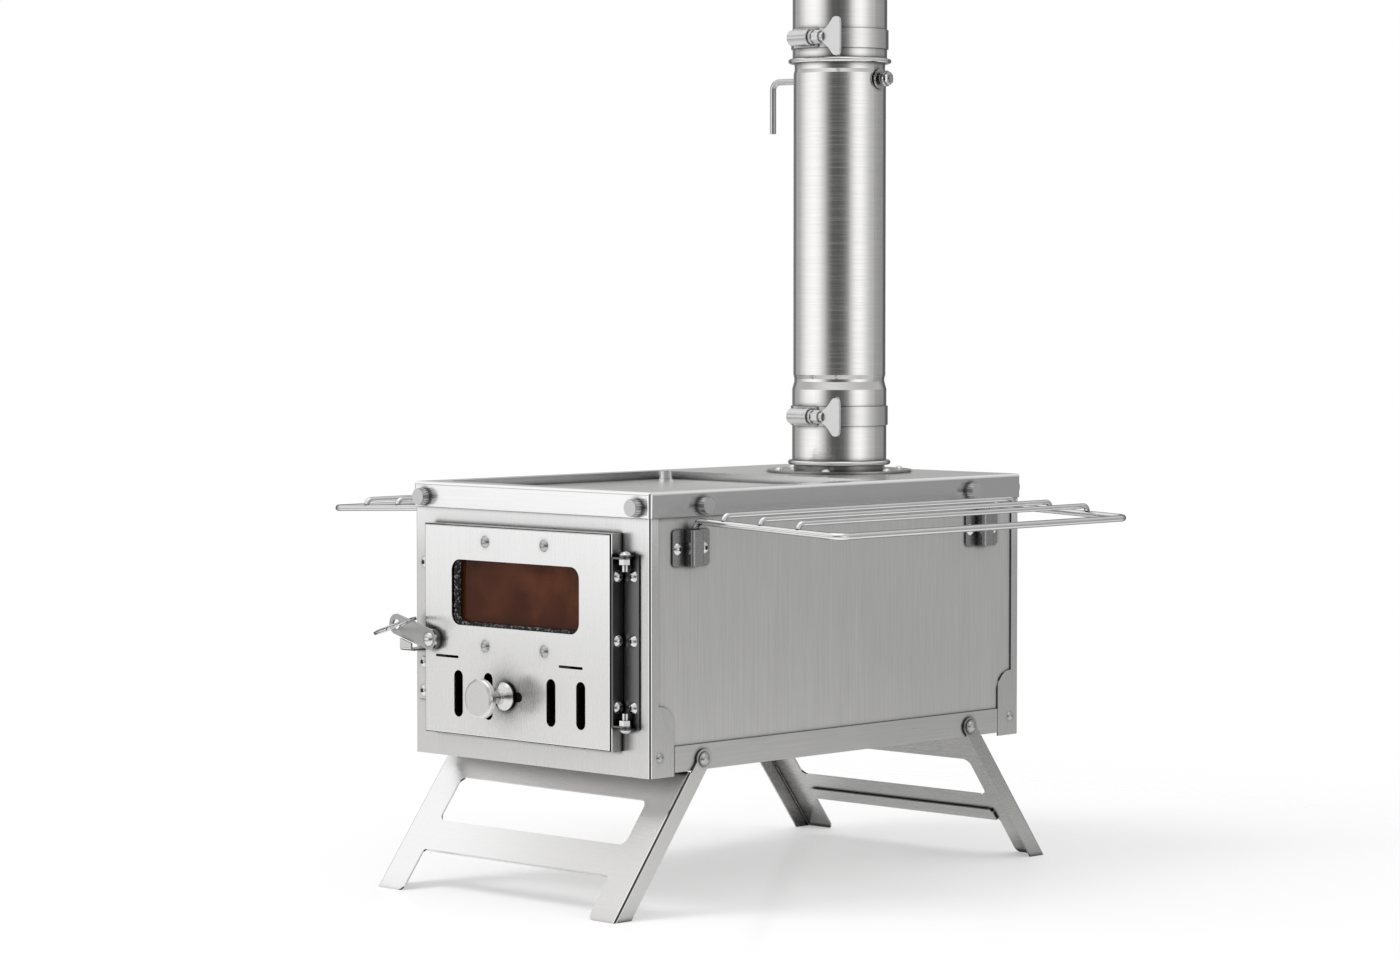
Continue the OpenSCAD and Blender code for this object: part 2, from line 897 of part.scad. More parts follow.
module door_gasket() {
    color(black)
        placed()
            across(door_in, gasket_t)
                difference() {
                    translate([window_x - 0.2, window_z])
                        rounded(window_w + 2 * gasket_w - 3, window_h + 2 * gasket_w - 3, window_r + 2);
                    translate([window_x - 0.2, window_z + 1])
                        rounded(window_w - 2, window_h - 2, window_r - 1);
                }
}

module door_glass() {
    color(amber)
        placed()
            across(glass_front, glass_t)
                translate([window_x, window_z])
                    rounded(window_w + 2 * glass_margin, window_h + 2 * glass_margin, 3);
}

// pressed frame that holds the glass against its gasket
module glass_frame() {
    color(side_steel)
        placed()
            difference() {
                across(frame_y, frame_t)
                    difference() {
                        translate([window_x, window_z]) {
                            rounded(frame_w, window_h + 2 * glass_margin + 5, 3);
                            for (x = [-1, 1])
                                translate([x * glass_screw_x, 0])
                                    rounded(4 * glass_screw_d, 2 * glass_screw_z + 3 * glass_screw_d, glass_screw_d);
                        }
                        translate([window_x, window_z])
                            rounded(window_w - 1, window_h - 1, window_r);
                    }
                at_glass_screws()
                    bar_y(0, frame_y - 1, 0, frame_t + 2, glass_screw_d / 2 + 0.02);
            }
}

module glass_screws() {
    color(bright_steel)
        placed()
            at_glass_screws()
                facing_front(0, -door_face, 0) {
                    dome(rivet_head_d, rivet_head_h);
                    translate([0, 0, -door_face - frame_y - frame_t])
                        cylinder(h = door_face + frame_y + frame_t + eps, d = glass_screw_d);
                }
}

module glass_spacers() {
    color(dark_steel)
        placed()
            at_glass_screws()
                difference() {
                    bar_y(0, door_in, 0, frame_y - door_in, 2.9);
                    bar_y(0, door_in - 1, 0, frame_y - door_in + 2, glass_screw_d / 2 + fit);
                }
}

// leaf on the door's side, with an ear at each end for the pins
module door_hinge_leaf() {
    ear_z = [hinge_bottom + leaf_t + gap, hinge_top - 2 * leaf_t - gap];
    leaf_back = door_back - fit;
    leaf_front = -door_face + 0.8;
    color(dark_steel)
        placed()
            difference() {
                union() {
                    translate([door_right, leaf_front, ear_z[0]])
                        cube([leaf_t, leaf_back - leaf_front, ear_z[1] - ear_z[0] + leaf_t]);
                    for (z = ear_z)
                        translate([0, 0, z])
                            linear_extrude(leaf_t) {
                                translate([door_right, hinge_y - ear_r])
                                    square([hinge_x - door_right, 2 * ear_r]);
                                translate([hinge_x, hinge_y])
                                    circle(ear_r);
                            }
                }
                for (z = ear_z)
                    translate([hinge_x, hinge_y, z - 1])
                        cylinder(h = leaf_t + 2, r = pin_d / 2 + 0.02);
                for (z = rivet_z)
                    bar_x(door_right - 1, hinge_y + 1, z, 3, rivet_d / 2 + fit);
            }
}

module door_hinge_rivets() {
    color(bright_steel)
        placed()
            for (z = rivet_z)
                facing_right(door_right + leaf_t, hinge_y + 1, z)
                    rivet(leaf_t + door_t);
}

// leaf flat on the front panel, with an ear at each end bent forwards
module body_hinge_leaf() {
    ear_z = [hinge_bottom, hinge_top - leaf_t];
    leaf_left = hinge_x - ear_r;
    color(dark_steel)
        placed()
            difference() {
                union() {
                    translate([leaf_left, -leaf_t, hinge_bottom])
                        cube([leaf_w, leaf_t, hinge_top - hinge_bottom]);
                    for (z = ear_z)
                        translate([0, 0, z])
                            linear_extrude(leaf_t) {
                                translate([leaf_left, hinge_y])
                                    square([2 * ear_r, -hinge_y]);
                                translate([hinge_x, hinge_y])
                                    circle(ear_r);
                            }
                }
                for (z = ear_z)
                    translate([hinge_x, hinge_y, z - 1])
                        cylinder(h = leaf_t + 2, r = pin_d / 2 + run);
                for (z = rivet_z)
                    bar_y(hinge_x + 2, -3, z, 4, rivet_d / 2 + fit);
            }
}

module body_hinge_rivets() {
    color(bright_steel)
        placed()
            for (z = rivet_z)
                facing_front(hinge_x + 2, -leaf_t, z)
                    rivet(leaf_t + sheet_t);
}

module at_hinge_ends() {
    translate([hinge_x, hinge_y, hinge_top])
        children();
    translate([hinge_x, hinge_y, hinge_bottom])
        mirror([0, 0, 1])
            children();
}

// pin screws: a domed head outside the body leaf's ear, the shank through both ears
module hinge_pins() {
    color(bright_steel)
        placed()
            at_hinge_ends() {
                translate([0, 0, fit])
                    dome(pin_head_d, pin_head_h);
                translate([0, 0, -pin_l])
                    cylinder(h = pin_l + fit + eps, d = pin_d);
            }
}

module hinge_nuts() {
    color(bright_steel)
        placed()
            at_hinge_ends()
                translate([0, 0, -2 * leaf_t - gap - hinge_nut_h])
                    difference() {
                        cylinder(h = hinge_nut_h, d = hinge_nut_d, $fn = 6);
                        translate([0, 0, -1])
                            cylinder(h = hinge_nut_h + 2, d = pin_d + 0.04);
                    }
}

// ---- air slider --------------------------------------------------------------------------

// two rails on the back of the door skin; the upper one ends between the shutter's tongues
module shutter_guides() {
    lower_x = shutter_left - 1;
    lower_w = shutter_right - shutter_left + slide_travel + 2;
    upper_x = slit_x[0] + slit_w / 2 + 1;
    upper_w = slit_x[1] - slit_x[0] - slit_w - 2;
    color(side_steel)
        placed()
            translate([window_x, 0, 0]) {
                guide_rail(lower_x, lower_w, shutter_bottom - gap, -1);
                guide_rail(upper_x, upper_w, shutter_top + gap, 1);
            }
}

// rail whose edge is at height z, with its lap over the shutter
module guide_rail(x, w, z, side) {
    rail_h = 4;
    lap = 2.5;
    along(x, w)
        translate([0, z])
            mirror([0, side < 0 ? 1 : 0]) {
                translate([door_in, 0])
                    square([shutter_t + 2 * gap + guide_t, rail_h]);
                translate([shutter_y + shutter_t + gap, -lap])
                    square([guide_t, rail_h + lap]);
            }
}

module air_shutter() {
    color(side_steel)
        placed()
            difference() {
                union() {
                    translate([window_x + shutter_left, shutter_y, shutter_bottom])
                        cube([shutter_right - shutter_left, shutter_t, shutter_top - shutter_bottom]);
                    for (x = slit_x)
                        translate([window_x + x - slit_w / 2 + 0.4, 0, 0])
                            slider_tab();
                }
                across(shutter_y - 1, shutter_t + 2)
                    for (x = slot_x)
                        translate([window_x + x, slot_z])
                            slot_2d(slot_w + 0.4, slot_h);
                bar_y(knob_x, shutter_y - 1, knob_z, shutter_t + 2, knob_stem_d / 2 + 0.02);
            }
}

// tongue of the shutter that runs in a slit of the door skin
module slider_tab() {
    translate([0, shutter_y, shutter_top - eps])
        cube([slider_tab_w, shutter_t, slit_z - shutter_top + 0.5]);
    translate([0, -door_face + 0.2, slit_z - 0.5])
        cube([slider_tab_w, shutter_y + shutter_t + door_face - 0.2, 1]);
}

// turned knob: a base flange, a waist and a wide head
module air_knob() {
    waist_d = 8;
    color(bright_steel)
        placed()
            facing_front(knob_x, knob_y, knob_z)
                difference() {
                    rotate_extrude()
                        polygon([
                            [0, 0], [knob_flange_d / 2 - 0.8, 0], [knob_flange_d / 2, 0.8],
                            [knob_flange_d / 2, 1.8], [knob_flange_d / 2 - 1.2, 3.2],
                            [waist_d / 2 + 0.6, 5.4], [waist_d / 2, 7.5], [waist_d / 2, knob_h - 8.5],
                            [waist_d / 2 + 1, knob_h - 7.2], [knob_d / 2 - 1.4, knob_h - 5.6],
                            [knob_d / 2 - 0.3, knob_h - 4.8], [knob_d / 2, knob_h - 4],
                            [knob_d / 2, knob_h - 1.8], [knob_d / 2 - 0.5, knob_h - 0.9],
                            [knob_d / 2 - 1.8, knob_h - gap], [0, knob_h - gap]
                        ]);
                    translate([0, 0, -1])
                        cylinder(h = 9, d = knob_stem_d + 0.04);
                }
}

module air_knob_screw() {
    head_y = shutter_y + shutter_t;
    color(dark_steel)
        placed() {
            bar_y(knob_x, knob_y - 7.5, knob_z, head_y - knob_y + 7.5 + eps, knob_stem_d / 2);
            bar_y(knob_x, head_y, knob_z, 1.6, 4);
        }
}

// ---- latch -------------------------------------------------------------------------------

module latch_spacer() {
    color(dark_steel)
        placed()
            difference() {
                bar_y(latch_x, latch_back + fit, latch_z, -door_face - latch_back - fit, latch_w / 2);
                bar_y(latch_x, latch_back - 1, latch_z, 8, latch_pin_d / 2 + fit);
            }
}

module latch_screw() {
    head_y = latch_back - latch_t - fit;
    color(bright_steel)
        placed() {
            facing_front(latch_x, head_y, latch_z)
                dome(latch_head_d, 2.4);
            bar_y(latch_x, head_y - eps, latch_z, door_in - head_y + 3, latch_pin_d / 2);
            bar_y(latch_x, door_in, latch_z, 2.6, 4.2);
        }
}

module latch_arm() {
    color(steel)
        placed()
            translate([latch_x, 0, latch_z])
                rotate([0, latch_rise, 0])
                    across(latch_back - latch_t, latch_t)
                        difference() {
                            union() {
                                translate([-latch_l, -latch_w / 2])
                                    square([latch_l, latch_w]);
                                for (x = [0, -latch_l])
                                    translate([x, 0])
                                        circle(latch_w / 2);
                            }
                            circle(latch_pin_d / 2 + run);
                            translate([-latch_l, 0])
                                circle(ring_hole_d / 2);
                        }
}

module latch_ring() {
    color(bright_steel)
        placed()
            translate(ring_mid)
                rotate([0, 0, ring_turn])
                    rotate([0, -ring_tilt, 0])
                        rotate_extrude()
                            translate([ring_d / 2, 0])
                                circle(ring_wire / 2, $fn = 24);
}

// hook on the front panel that the latch arm drops into
module latch_keeper() {
    lip_front = keeper_lip_y - keeper_t;
    low_edge = latch_z - gap;
    color(steel)
        placed()
            difference() {
                union() {
                    translate([keeper_x - keeper_w / 2, -keeper_t, keeper_foot_z])
                        cube([keeper_w, keeper_t, keeper_web_z + keeper_t - keeper_foot_z]);
                    along(keeper_x - keeper_w / 2, keeper_w)
                        difference() {
                            translate([lip_front, keeper_web_z])
                                rounded_corner_block(-lip_front, 12, 2);
                            translate([lip_front + keeper_t, keeper_web_z + keeper_t])
                                rounded_corner_block(-lip_front, 12, 2 - keeper_t);
                        }
                }
                translate([latch_x, lip_front - 1, low_edge])
                    rotate([0, latch_rise, 0])
                        translate([-2 * latch_l, 0, -latch_w / 2])
                            cube([2.3 * latch_l, -lip_front - keeper_t, latch_l]);
                for (z = keeper_rivet_z)
                    bar_y(keeper_x, -3, z, 4, rivet_d / 2 + fit);
            }
}

// block from the origin whose corner at the origin is rounded
module rounded_corner_block(w, h, r) {
    translate([r, 0])
        square([w - r, h]);
    translate([0, r])
        square([w, h - r]);
    translate([r, r])
        circle(r);
}

module latch_keeper_rivets() {
    color(bright_steel)
        placed() {
            for (z = keeper_rivet_z)
                facing_front(keeper_x, -keeper_t, z)
                    rivet(keeper_t + sheet_t);
            facing_front(keeper_x, 0, rivet_z[0])
                rivet(sheet_t);
        }
}

// ---- side racks --------------------------------------------------------------------------

module at_rack_brackets() {
    both_sides()
        for (y = [rack_front_y, rack_rear_y])
            translate([0, y, 0])
                children();
}

// hat-section bracket with a closed foot; the rack's wire drops into its channel
module rack_brackets() {
    color(dark_steel)
        placed()
            at_rack_brackets()
                difference() {
                    union() {
                        along(side_out, bracket_t)
                            rounded_at(-bracket_w / 2, bracket_z, bracket_w / 2, bracket_z + bracket_h, 2);
                        translate([0, 0, bracket_z])
                            linear_extrude(bracket_h)
                                bracket_channel(channel_out, channel_w / 2, 2);
                    }
                    translate([0, 0, bracket_z + bracket_t])
                        linear_extrude(bracket_h)
                            bracket_channel(channel_out - bracket_t, channel_w / 2 - bracket_t, 1);
                    for (side = [-1, 1])
                        bar_x(side_out - 1, side * bracket_rivet_dy, bracket_rivet_z, 4, rivet_d / 2 + fit);
                }
}

// outline of the channel, from the panel out to x
module bracket_channel(x, half, r) {
    translate([side_out, -half])
        square([x - side_out - r, 2 * half]);
    translate([x - r - eps, -half + r])
        square([r + eps, 2 * half - 2 * r]);
    for (y = [-1, 1])
        translate([x - r, y * (half - r)])
            circle(r);
}

module rack_bracket_rivets() {
    color(bright_steel)
        placed()
            at_rack_brackets()
                for (side = [-1, 1])
                    facing_right(side_out + bracket_t, side * bracket_rivet_dy, bracket_rivet_z)
                        rivet(bracket_t + sheet_t);
}

// bend of a round wire in the x-z plane: from straight up to the side, about its inner centre
module wire_bend_arc(bend, r, angle) {
    rotate([90, 0, 0])
        rotate([0, 0, 180 - angle])
            rotate_extrude(angle = angle)
                translate([bend, 0])
                    circle(r);
}

// the rack lies in a plane that falls outwards from the top of its wire bends
module rack_plane() {
    translate([wire_x + wire_bend, 0, rack_arm_z - wire_bend])
        rotate([0, rack_fall, 0])
            translate([0, 0, wire_bend])
                children();
}

module right_rack_frame_shape() {
    r = rack_wire / 2;
    bend_r = r + 0.03;
    arm_l = half_w + rack_reach - wire_x - wire_bend - rack_corner;
    bar_l = rack_rear_y - rack_front_y - 2 * rack_corner;
    for (y = [rack_front_y, rack_rear_y]) {
        translate([wire_x, y, rack_foot_z])
            cylinder(h = rack_arm_z - wire_bend - rack_foot_z + eps, r = r);
        translate([wire_x + wire_bend, y, rack_arm_z - wire_bend])
            wire_bend_arc(wire_bend, bend_r, 90 + rack_fall);
    }
    rack_plane() {
        for (y = [rack_front_y, rack_rear_y])
            bar_x(-eps, y, 0, arm_l + 2 * eps, r);
        translate([arm_l, rack_front_y + rack_corner, 0])
            rotate([0, 0, -90])
                wire_corner(rack_corner, bend_r);
        translate([arm_l, rack_rear_y - rack_corner, 0])
            wire_corner(rack_corner, bend_r);
        bar_y(arm_l + rack_corner, rack_front_y + rack_corner - eps, 0, bar_l + 2 * eps, r);
    }
}

// quarter bend of a round wire in the x-y plane
module wire_corner(bend, r) {
    rotate_extrude(angle = 90)
        translate([bend, 0])
            circle(r);
}

// three rods along the rack; each end turns down onto an arm
module right_rack_rods_shape() {
    r = rod_wire / 2;
    turn_r = 4;
    low = rack_wire / 2 + 0.02;
    rack_plane()
        for (x = rod_x)
            translate([x - (wire_x + wire_bend - half_w), 0, 0]) {
                bar_y(0, rack_front_y + turn_r, rod_rise, rack_rear_y - rack_front_y - 2 * turn_r, r);
                translate([0, rack_front_y + turn_r, rod_rise - turn_r])
                    rod_end(turn_r, r, low - rod_rise + turn_r);
                translate([0, rack_rear_y - turn_r, rod_rise - turn_r])
                    mirror([0, 1, 0])
                        rod_end(turn_r, r, low - rod_rise + turn_r);
            }
}

// quarter bend down and to the front, cut off level at height low above its centre
module rod_end(bend, r, low) {
    difference() {
        rotate([0, -90, 0])
            rotate([180, 0, 0])
                wire_corner(bend, r);
        translate([-5, -2 * bend, -2 * bend])
            cube([10, 4 * bend, 2 * bend + low]);
    }
}

module right_rack_frame() {
    color(bright_steel)
        placed()
            right_rack_frame_shape();
}

module right_rack_rods() {
    color(bright_steel)
        placed()
            right_rack_rods_shape();
}

module left_rack_frame() {
    color(bright_steel)
        placed()
            mirror([1, 0, 0])
                right_rack_frame_shape();
}

module left_rack_rods() {
    color(bright_steel)
        placed()
            mirror([1, 0, 0])
                right_rack_rods_shape();
}

// ---- flue --------------------------------------------------------------------------------

module at_flue(z) {
    translate([0, flue_y, z])
        children();
}

module flue_collar() {
    top = damper_pipe_z + plug_l;
    color(bright_steel)
        placed()
            at_flue(body_h)
                difference() {
                    union() {
                        cylinder(h = collar_disc_t, d = collar_disc_d, $fn = 96);
                        translate([0, 0, -4])
                            cylinder(h = top - body_h + 4, r = plug_r, $fn = 96);
                    }
                    translate([0, 0, -5])
                        cylinder(h = top, r = plug_r - flue_t, $fn = 96);
                    for (a = [0:60:300])
                        rotate(a)
                            translate([collar_screw_r, 0, -1])
                                cylinder(h = 4, r = tab_screw_d / 2 + fit);
                }
}

module flue_collar_screws() {
    color(bright_steel)
        placed()
            at_flue(body_h + collar_disc_t)
                for (a = [0:60:300])
                    rotate(a)
                        translate([collar_screw_r, 0, 0]) {
                            dome(small_head_d, small_head_h);
                            translate([0, 0, -6])
                                cylinder(h = 6 + eps, d = tab_screw_d);
                        }
}

module flue_collar_nuts() {
    color(dark_steel)
        placed()
            at_flue(plate_z - 2.4)
                for (a = [0:60:300])
                    rotate(a)
                        translate([collar_screw_r, 0, 0])
                            clinch_nut(tab_screw_d, 2.4);
}

// radius along a flue section, from its socket end up: [height, radius]
function flue_line() = [
    [0, flue_r], [plug_l, flue_r], [plug_l + 4.9, groove_r], [plug_l + 6.7, groove_r],
    [plug_l + 9.3, wall_r], [section_l - plug_l - 6.4, wall_r], [section_l - plug_l - 4, groove_r],
    [section_l - plug_l - 2.4, groove_r], [section_l - plug_l, plug_r], [section_l, plug_r]
];

module flue_section() {
    line = flue_line();
    count = len(line);
    rotate_extrude($fn = 96) {
        polygon(concat(
            [for (p = line) [p[1], p[0]]],
            [for (i = [count - 1:-1:0]) [line[i][1] - flue_t, line[i][0]]]
        ));
        translate([flue_r + bead_r - 0.3, bead_r])
            circle(bead_r, $fn = 24);
    }
}

module damper_pipe() {
    color(bright_steel)
        placed()
            at_flue(damper_pipe_z)
                difference() {
                    flue_section();
                    rotate(damper_turn)
                        bar_x(-flue_d, 0, damper_z - damper_pipe_z, 2 * flue_d, rod_r + run);
                }
}

module upper_pipe() {
    color(bright_steel)
        placed()
            at_flue(upper_pipe_z)
                flue_section();
}

module clamp_band(z) {
    color(bright_steel)
        placed()
            at_flue(z)
                difference() {
                    cylinder(h = band_w, r = band_r, $fn = 96);
                    translate([0, 0, -1])
                        cylinder(h = band_w + 2, r = band_r - band_t, $fn = 96);
                }
}

// worm housing on the front of the band: a barrel on a saddle, bored for the screw
module clamp_housing(z) {
    saddle_l = 18;
    color(bright_steel)
        placed()
            at_flue(z + band_w / 2)
                difference() {
                    union() {
                        translate([housing_end - saddle_l, -screw_y, -band_w / 2])
                            cube([saddle_l, screw_y - band_r + 6, band_w]);
                        bar_x(housing_end - housing_l, -screw_y, 0, housing_l, housing_r);
                        bar_x(housing_end - 1.4, -screw_y, 0, 1.4, housing_r + 0.7);
                    }
                    translate([0, 0, -band_w])
                        cylinder(h = 2 * band_w, r = band_r + 0.02, $fn = 96);
                    translate([-saddle_l, -screw_y - 1, -band_w / 2 - 1])
                        cube([saddle_l * 2, 4.6, 3]);
                    translate([-saddle_l, -screw_y - 1, band_w / 2 - 2])
                        cube([saddle_l * 2, 4.6, 3]);
                    bar_x(-14, -screw_y, 0, 40, worm_r + run);
                }
}

// worm screw with a hexagon collar and a flat butterfly key
module clamp_key(z) {
    key_x = housing_end + 9.8;
    key_t = 1.6;
    // half outline of the key: [distance from its root, share of the half span]
    half = [
        [0, 0.28], [3, 0.44], [5.6, 0.63], [7.7, 0.83], [8.5, 0.91], [9.5, 0.975], [10.8, 1],
        [12.6, 0.99], [13.8, 0.93], [14.4, 0.84], [14.7, 0.6]
    ];
    far_half = [for (i = [len(half) - 1:-1:0]) [half[i][0], -half[i][1]]];
    color(bright_steel)
        placed()
            at_flue(z + band_w / 2)
                translate([0, -screw_y, 0]) {
                    bar_x(housing_end - housing_l + 1, 0, 0, housing_l + 1, worm_r);
                    bar_x(housing_end + 0.4, 0, 0, 2, 4.4);
                    translate([housing_end + 2, 0, 0])
                        rotate([0, 90, 0])
                            cylinder(h = 6, r = 4.2, $fn = 6);
                    bar_x(housing_end + 7.5, 0, 0, 3.5, 2.8);
                    across(-key_t / 2, key_t)
                        translate([key_x, 0])
                            polygon([for (p = concat(half, far_half)) [p[0], p[1] * key_span / 2]]);
                }
}

module lower_clamp_band() {
    clamp_band(lower_band_z);
}

module upper_clamp_band() {
    clamp_band(upper_band_z);
}

module lower_clamp_housing() {
    clamp_housing(lower_band_z);
}

module upper_clamp_housing() {
    clamp_housing(upper_band_z);
}

module lower_clamp_key() {
    clamp_key(lower_band_z);
}

module upper_clamp_key() {
    clamp_key(upper_band_z);
}

// ---- damper ------------------------------------------------------------------------------

module at_damper() {
    placed()
        at_flue(damper_z)
            rotate(damper_turn)
                children();
}

module damper_rod() {
    color(bright_steel)
        at_damper() {
            bar_x(-handle_x + handle_bend, 0, 0, handle_x - handle_bend + nut_x + 3.6, rod_r);
            translate([-handle_x + handle_bend, 0, -handle_bend])
                wire_bend_arc(handle_bend, rod_r, 90);
            translate([-handle_x, 0, -handle_l])
                cylinder(h = handle_l - handle_bend, r = rod_r);
        }
}

// round plate beside the rod, held by two clips round it
module damper_plate() {
    clip_x = 13;
    clip_l = 7;
    color(side_steel)
        at_damper()
            difference() {
                union() {
                    translate([0, rod_r + 0.02, 0])
                        rotate([-90, 0, 0])
                            cylinder(h = plate_t, r = plate_r, $fn = 96);
                    for (x = [-clip_x, clip_x])
                        bar_x(x - clip_l / 2, 0, 0, clip_l, rod_r + plate_t);
                }
                bar_x(-flue_d, 0, 0, 2 * flue_d, rod_r + 0.01);
            }
}

module damper_washers() {
    color(bright_steel)
        at_damper() {
            difference() {
                bar_x(washer_x, 0, 0, 1, 6.3);
                bar_x(washer_x - 1, 0, 0, 3, rod_r + 0.02);
            }
            difference() {
                translate([-washer_x, 0, 0])
                    rotate([0, -90, 0])
                        dome(10.4, 3);
                bar_x(-washer_x - 5, 0, 0, 8, rod_r + 0.02);
            }
        }
}

// centre line of the spring: one straight diameter, the turns, and one straight diameter
function spring_line() =
    let (
        steps = 8 * spring_turns,
        lead = spring_wire,
        rise = spring_l - 2 * lead
    )
    concat(
        [[0, spring_r, 0], [lead * 0.9, spring_r, 0]],
        [for (i = [1:steps - 1]) [
            lead + rise * i / steps, spring_r * cos(i * 45), spring_r * sin(i * 45)
        ]],
        [[spring_l - lead * 0.9, spring_r, 0], [spring_l, spring_r, 0]]
    );

function unit(v) = v / norm(v);

// six-sided rings along a line; the rings at both ends lie square to X
function tube_points(line, r) =
    let (last = len(line) - 1)
    [for (i = [0:last])
        let (
            ahead = unit(i == 0 || i == last ? [1, 0, 0] : line[i + 1] - line[i - 1]),
            out = unit([0, line[i][1], line[i][2]]),
            side = unit(cross(ahead, out)),
            up = cross(side, ahead)
        )
        for (k = [0:5]) line[i] + r * (cos(60 * k) * side + sin(60 * k) * up)];

function tube_faces(rings) = concat(
    [[0, 1, 2], [0, 2, 3], [0, 3, 4], [0, 4, 5]],
    [for (i = [0:rings - 2], k = [0:5])
        each [[i * 6 + k, (i + 1) * 6 + k, i * 6 + (k + 1) % 6],
              [i * 6 + (k + 1) % 6, (i + 1) * 6 + k, (i + 1) * 6 + (k + 1) % 6]]],
    let (e = (rings - 1) * 6)
    [[e, e + 2, e + 1], [e, e + 3, e + 2], [e, e + 4, e + 3], [e, e + 5, e + 4]]
);

// least distance between points of the line that lie half a turn or more apart
function self_gap(line, wire) = min([
    for (i = [0:len(line) - 1], j = [i + 5:1:len(line) - 1]) norm(line[i] - line[j])
]) - wire;

module damper_spring() {
    line = spring_line();
    echo(spring_self_gap = self_gap(line, spring_wire));
    color(bright_steel)
        at_damper()
            translate([spring_x, 0, 0])
                polyhedron(tube_points(line, spring_wire / 2), tube_faces(len(line)));
}

module damper_nut() {
    color(bright_steel)
        at_damper()
            difference() {
                union() {
                    translate([nut_x, 0, 0])
                        rotate([0, 90, 0])
                            cylinder(h = 3, r = 4.2, $fn = 6);
                    bar_x(nut_x, 0, 0, 0.8, 5);
                }
                bar_x(nut_x - 1, 0, 0, 8, rod_r + 0.02);
            }
}

front_panel();
rear_panel();
left_side_panel();
right_side_panel();
bottom_tray();
top_cover();
fire_grate();
cover_screws();
corner_tab_screws();
clinch_nuts();
flue_collar();
flue_collar_screws();
flue_collar_nuts();
damper_pipe();
upper_pipe();
lower_clamp_band();
lower_clamp_housing();
upper_clamp_band();
upper_clamp_housing();
rack_brackets();
rack_bracket_rivets();
body_hinge_leaf();
body_hinge_rivets();
latch_keeper();
latch_keeper_rivets();
leg_pivot_screws();
leg_pivot_nuts();
door_skin();
door_glass();
door_gasket();
glass_frame();
glass_screws();
glass_spacers();
door_hinge_leaf();
door_hinge_rivets();
hinge_pins();
hinge_nuts();
shutter_guides();
latch_spacer();
latch_screw();
air_shutter();
air_knob();
air_knob_screw();
latch_arm();
latch_ring();
front_leg();
rear_leg();
right_rack_frame();
right_rack_rods();
left_rack_frame();
left_rack_rods();
damper_rod();
damper_plate();
damper_spring();
damper_washers();
damper_nut();
lower_clamp_key();
upper_clamp_key();
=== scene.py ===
# Looks of a folding tent wood stove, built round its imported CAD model.
import math

import bmesh
import bpy
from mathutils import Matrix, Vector


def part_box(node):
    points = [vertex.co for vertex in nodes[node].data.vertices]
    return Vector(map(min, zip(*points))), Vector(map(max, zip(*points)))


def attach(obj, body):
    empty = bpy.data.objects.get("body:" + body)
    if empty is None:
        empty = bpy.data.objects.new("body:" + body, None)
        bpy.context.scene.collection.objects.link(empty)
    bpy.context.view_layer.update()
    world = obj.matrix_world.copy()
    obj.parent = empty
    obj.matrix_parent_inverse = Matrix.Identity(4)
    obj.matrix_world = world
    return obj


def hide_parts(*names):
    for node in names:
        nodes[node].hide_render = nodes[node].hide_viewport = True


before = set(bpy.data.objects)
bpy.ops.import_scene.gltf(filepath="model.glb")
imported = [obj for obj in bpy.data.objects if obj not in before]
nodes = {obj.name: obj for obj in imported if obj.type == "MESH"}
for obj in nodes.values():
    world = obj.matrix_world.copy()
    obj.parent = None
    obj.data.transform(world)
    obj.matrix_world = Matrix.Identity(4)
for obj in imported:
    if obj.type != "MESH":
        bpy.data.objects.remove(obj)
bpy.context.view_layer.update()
print("stove: frame loaded with", len(nodes), "nodes")

mm = 0.001
fireboxOrigin = Vector((0.0, -0.1593117, 0.0795))     # middle of the firebox's lower front edge


# a point in firebox millimetres, in the frame's metres
def at(x, y, z):
    return Vector((x, y, z)) * mm + fireboxOrigin


# the same for a length along one axis
def onAxis(axis, value):
    return value * mm + getattr(fireboxOrigin, axis)


# one value of a material; sums and products on it add Math nodes
class Value:
    def __init__(self, finish, socket):
        self.finish = finish
        self.socket = socket

    def maths(self, operation, *values, clamp=False):
        return self.finish.node("ShaderNodeMath", {"operation": operation, "use_clamp": clamp}, values)

    def __add__(self, other):
        return self.maths("ADD", self, other)

    def __radd__(self, other):
        return self.maths("ADD", other, self)

    def __sub__(self, other):
        return self.maths("SUBTRACT", self, other)

    def __rsub__(self, other):
        return self.maths("SUBTRACT", other, self)

    def __mul__(self, other):
        return self.maths("MULTIPLY", self, other)

    def __rmul__(self, other):
        return self.maths("MULTIPLY", other, self)

    def __truediv__(self, other):
        return self.maths("DIVIDE", self, other)

    def __gt__(self, other):
        return self.maths("GREATER_THAN", self, other)

    def __lt__(self, other):
        return self.maths("LESS_THAN", self, other)

    def __abs__(self):
        return self.maths("ABSOLUTE", self)

    def most(self, other):
        return self.maths("MAXIMUM", self, other)

    def held(self):
        return self.maths("MULTIPLY", self, 1.0, clamp=True)

    def spread(self, low, high, toLow=0.0, toHigh=1.0):
        return self.finish.node(
            "ShaderNodeMapRange", {"interpolation_type": "SMOOTHSTEP"}, (self, low, high, toLow, toHigh)
        )


# how squarely a face looks along an axis, where a bend starts and where it is full
bendLimits = {
    "square": {"bend": [(0.995, 0.96)], "crease": [(0.93, 0.84)]},
    "sloped": {"bend": [(0.03, 0.1), (0.995, 0.96)], "crease": [(0.3, 0.45), (0.95, 0.85)]},
}


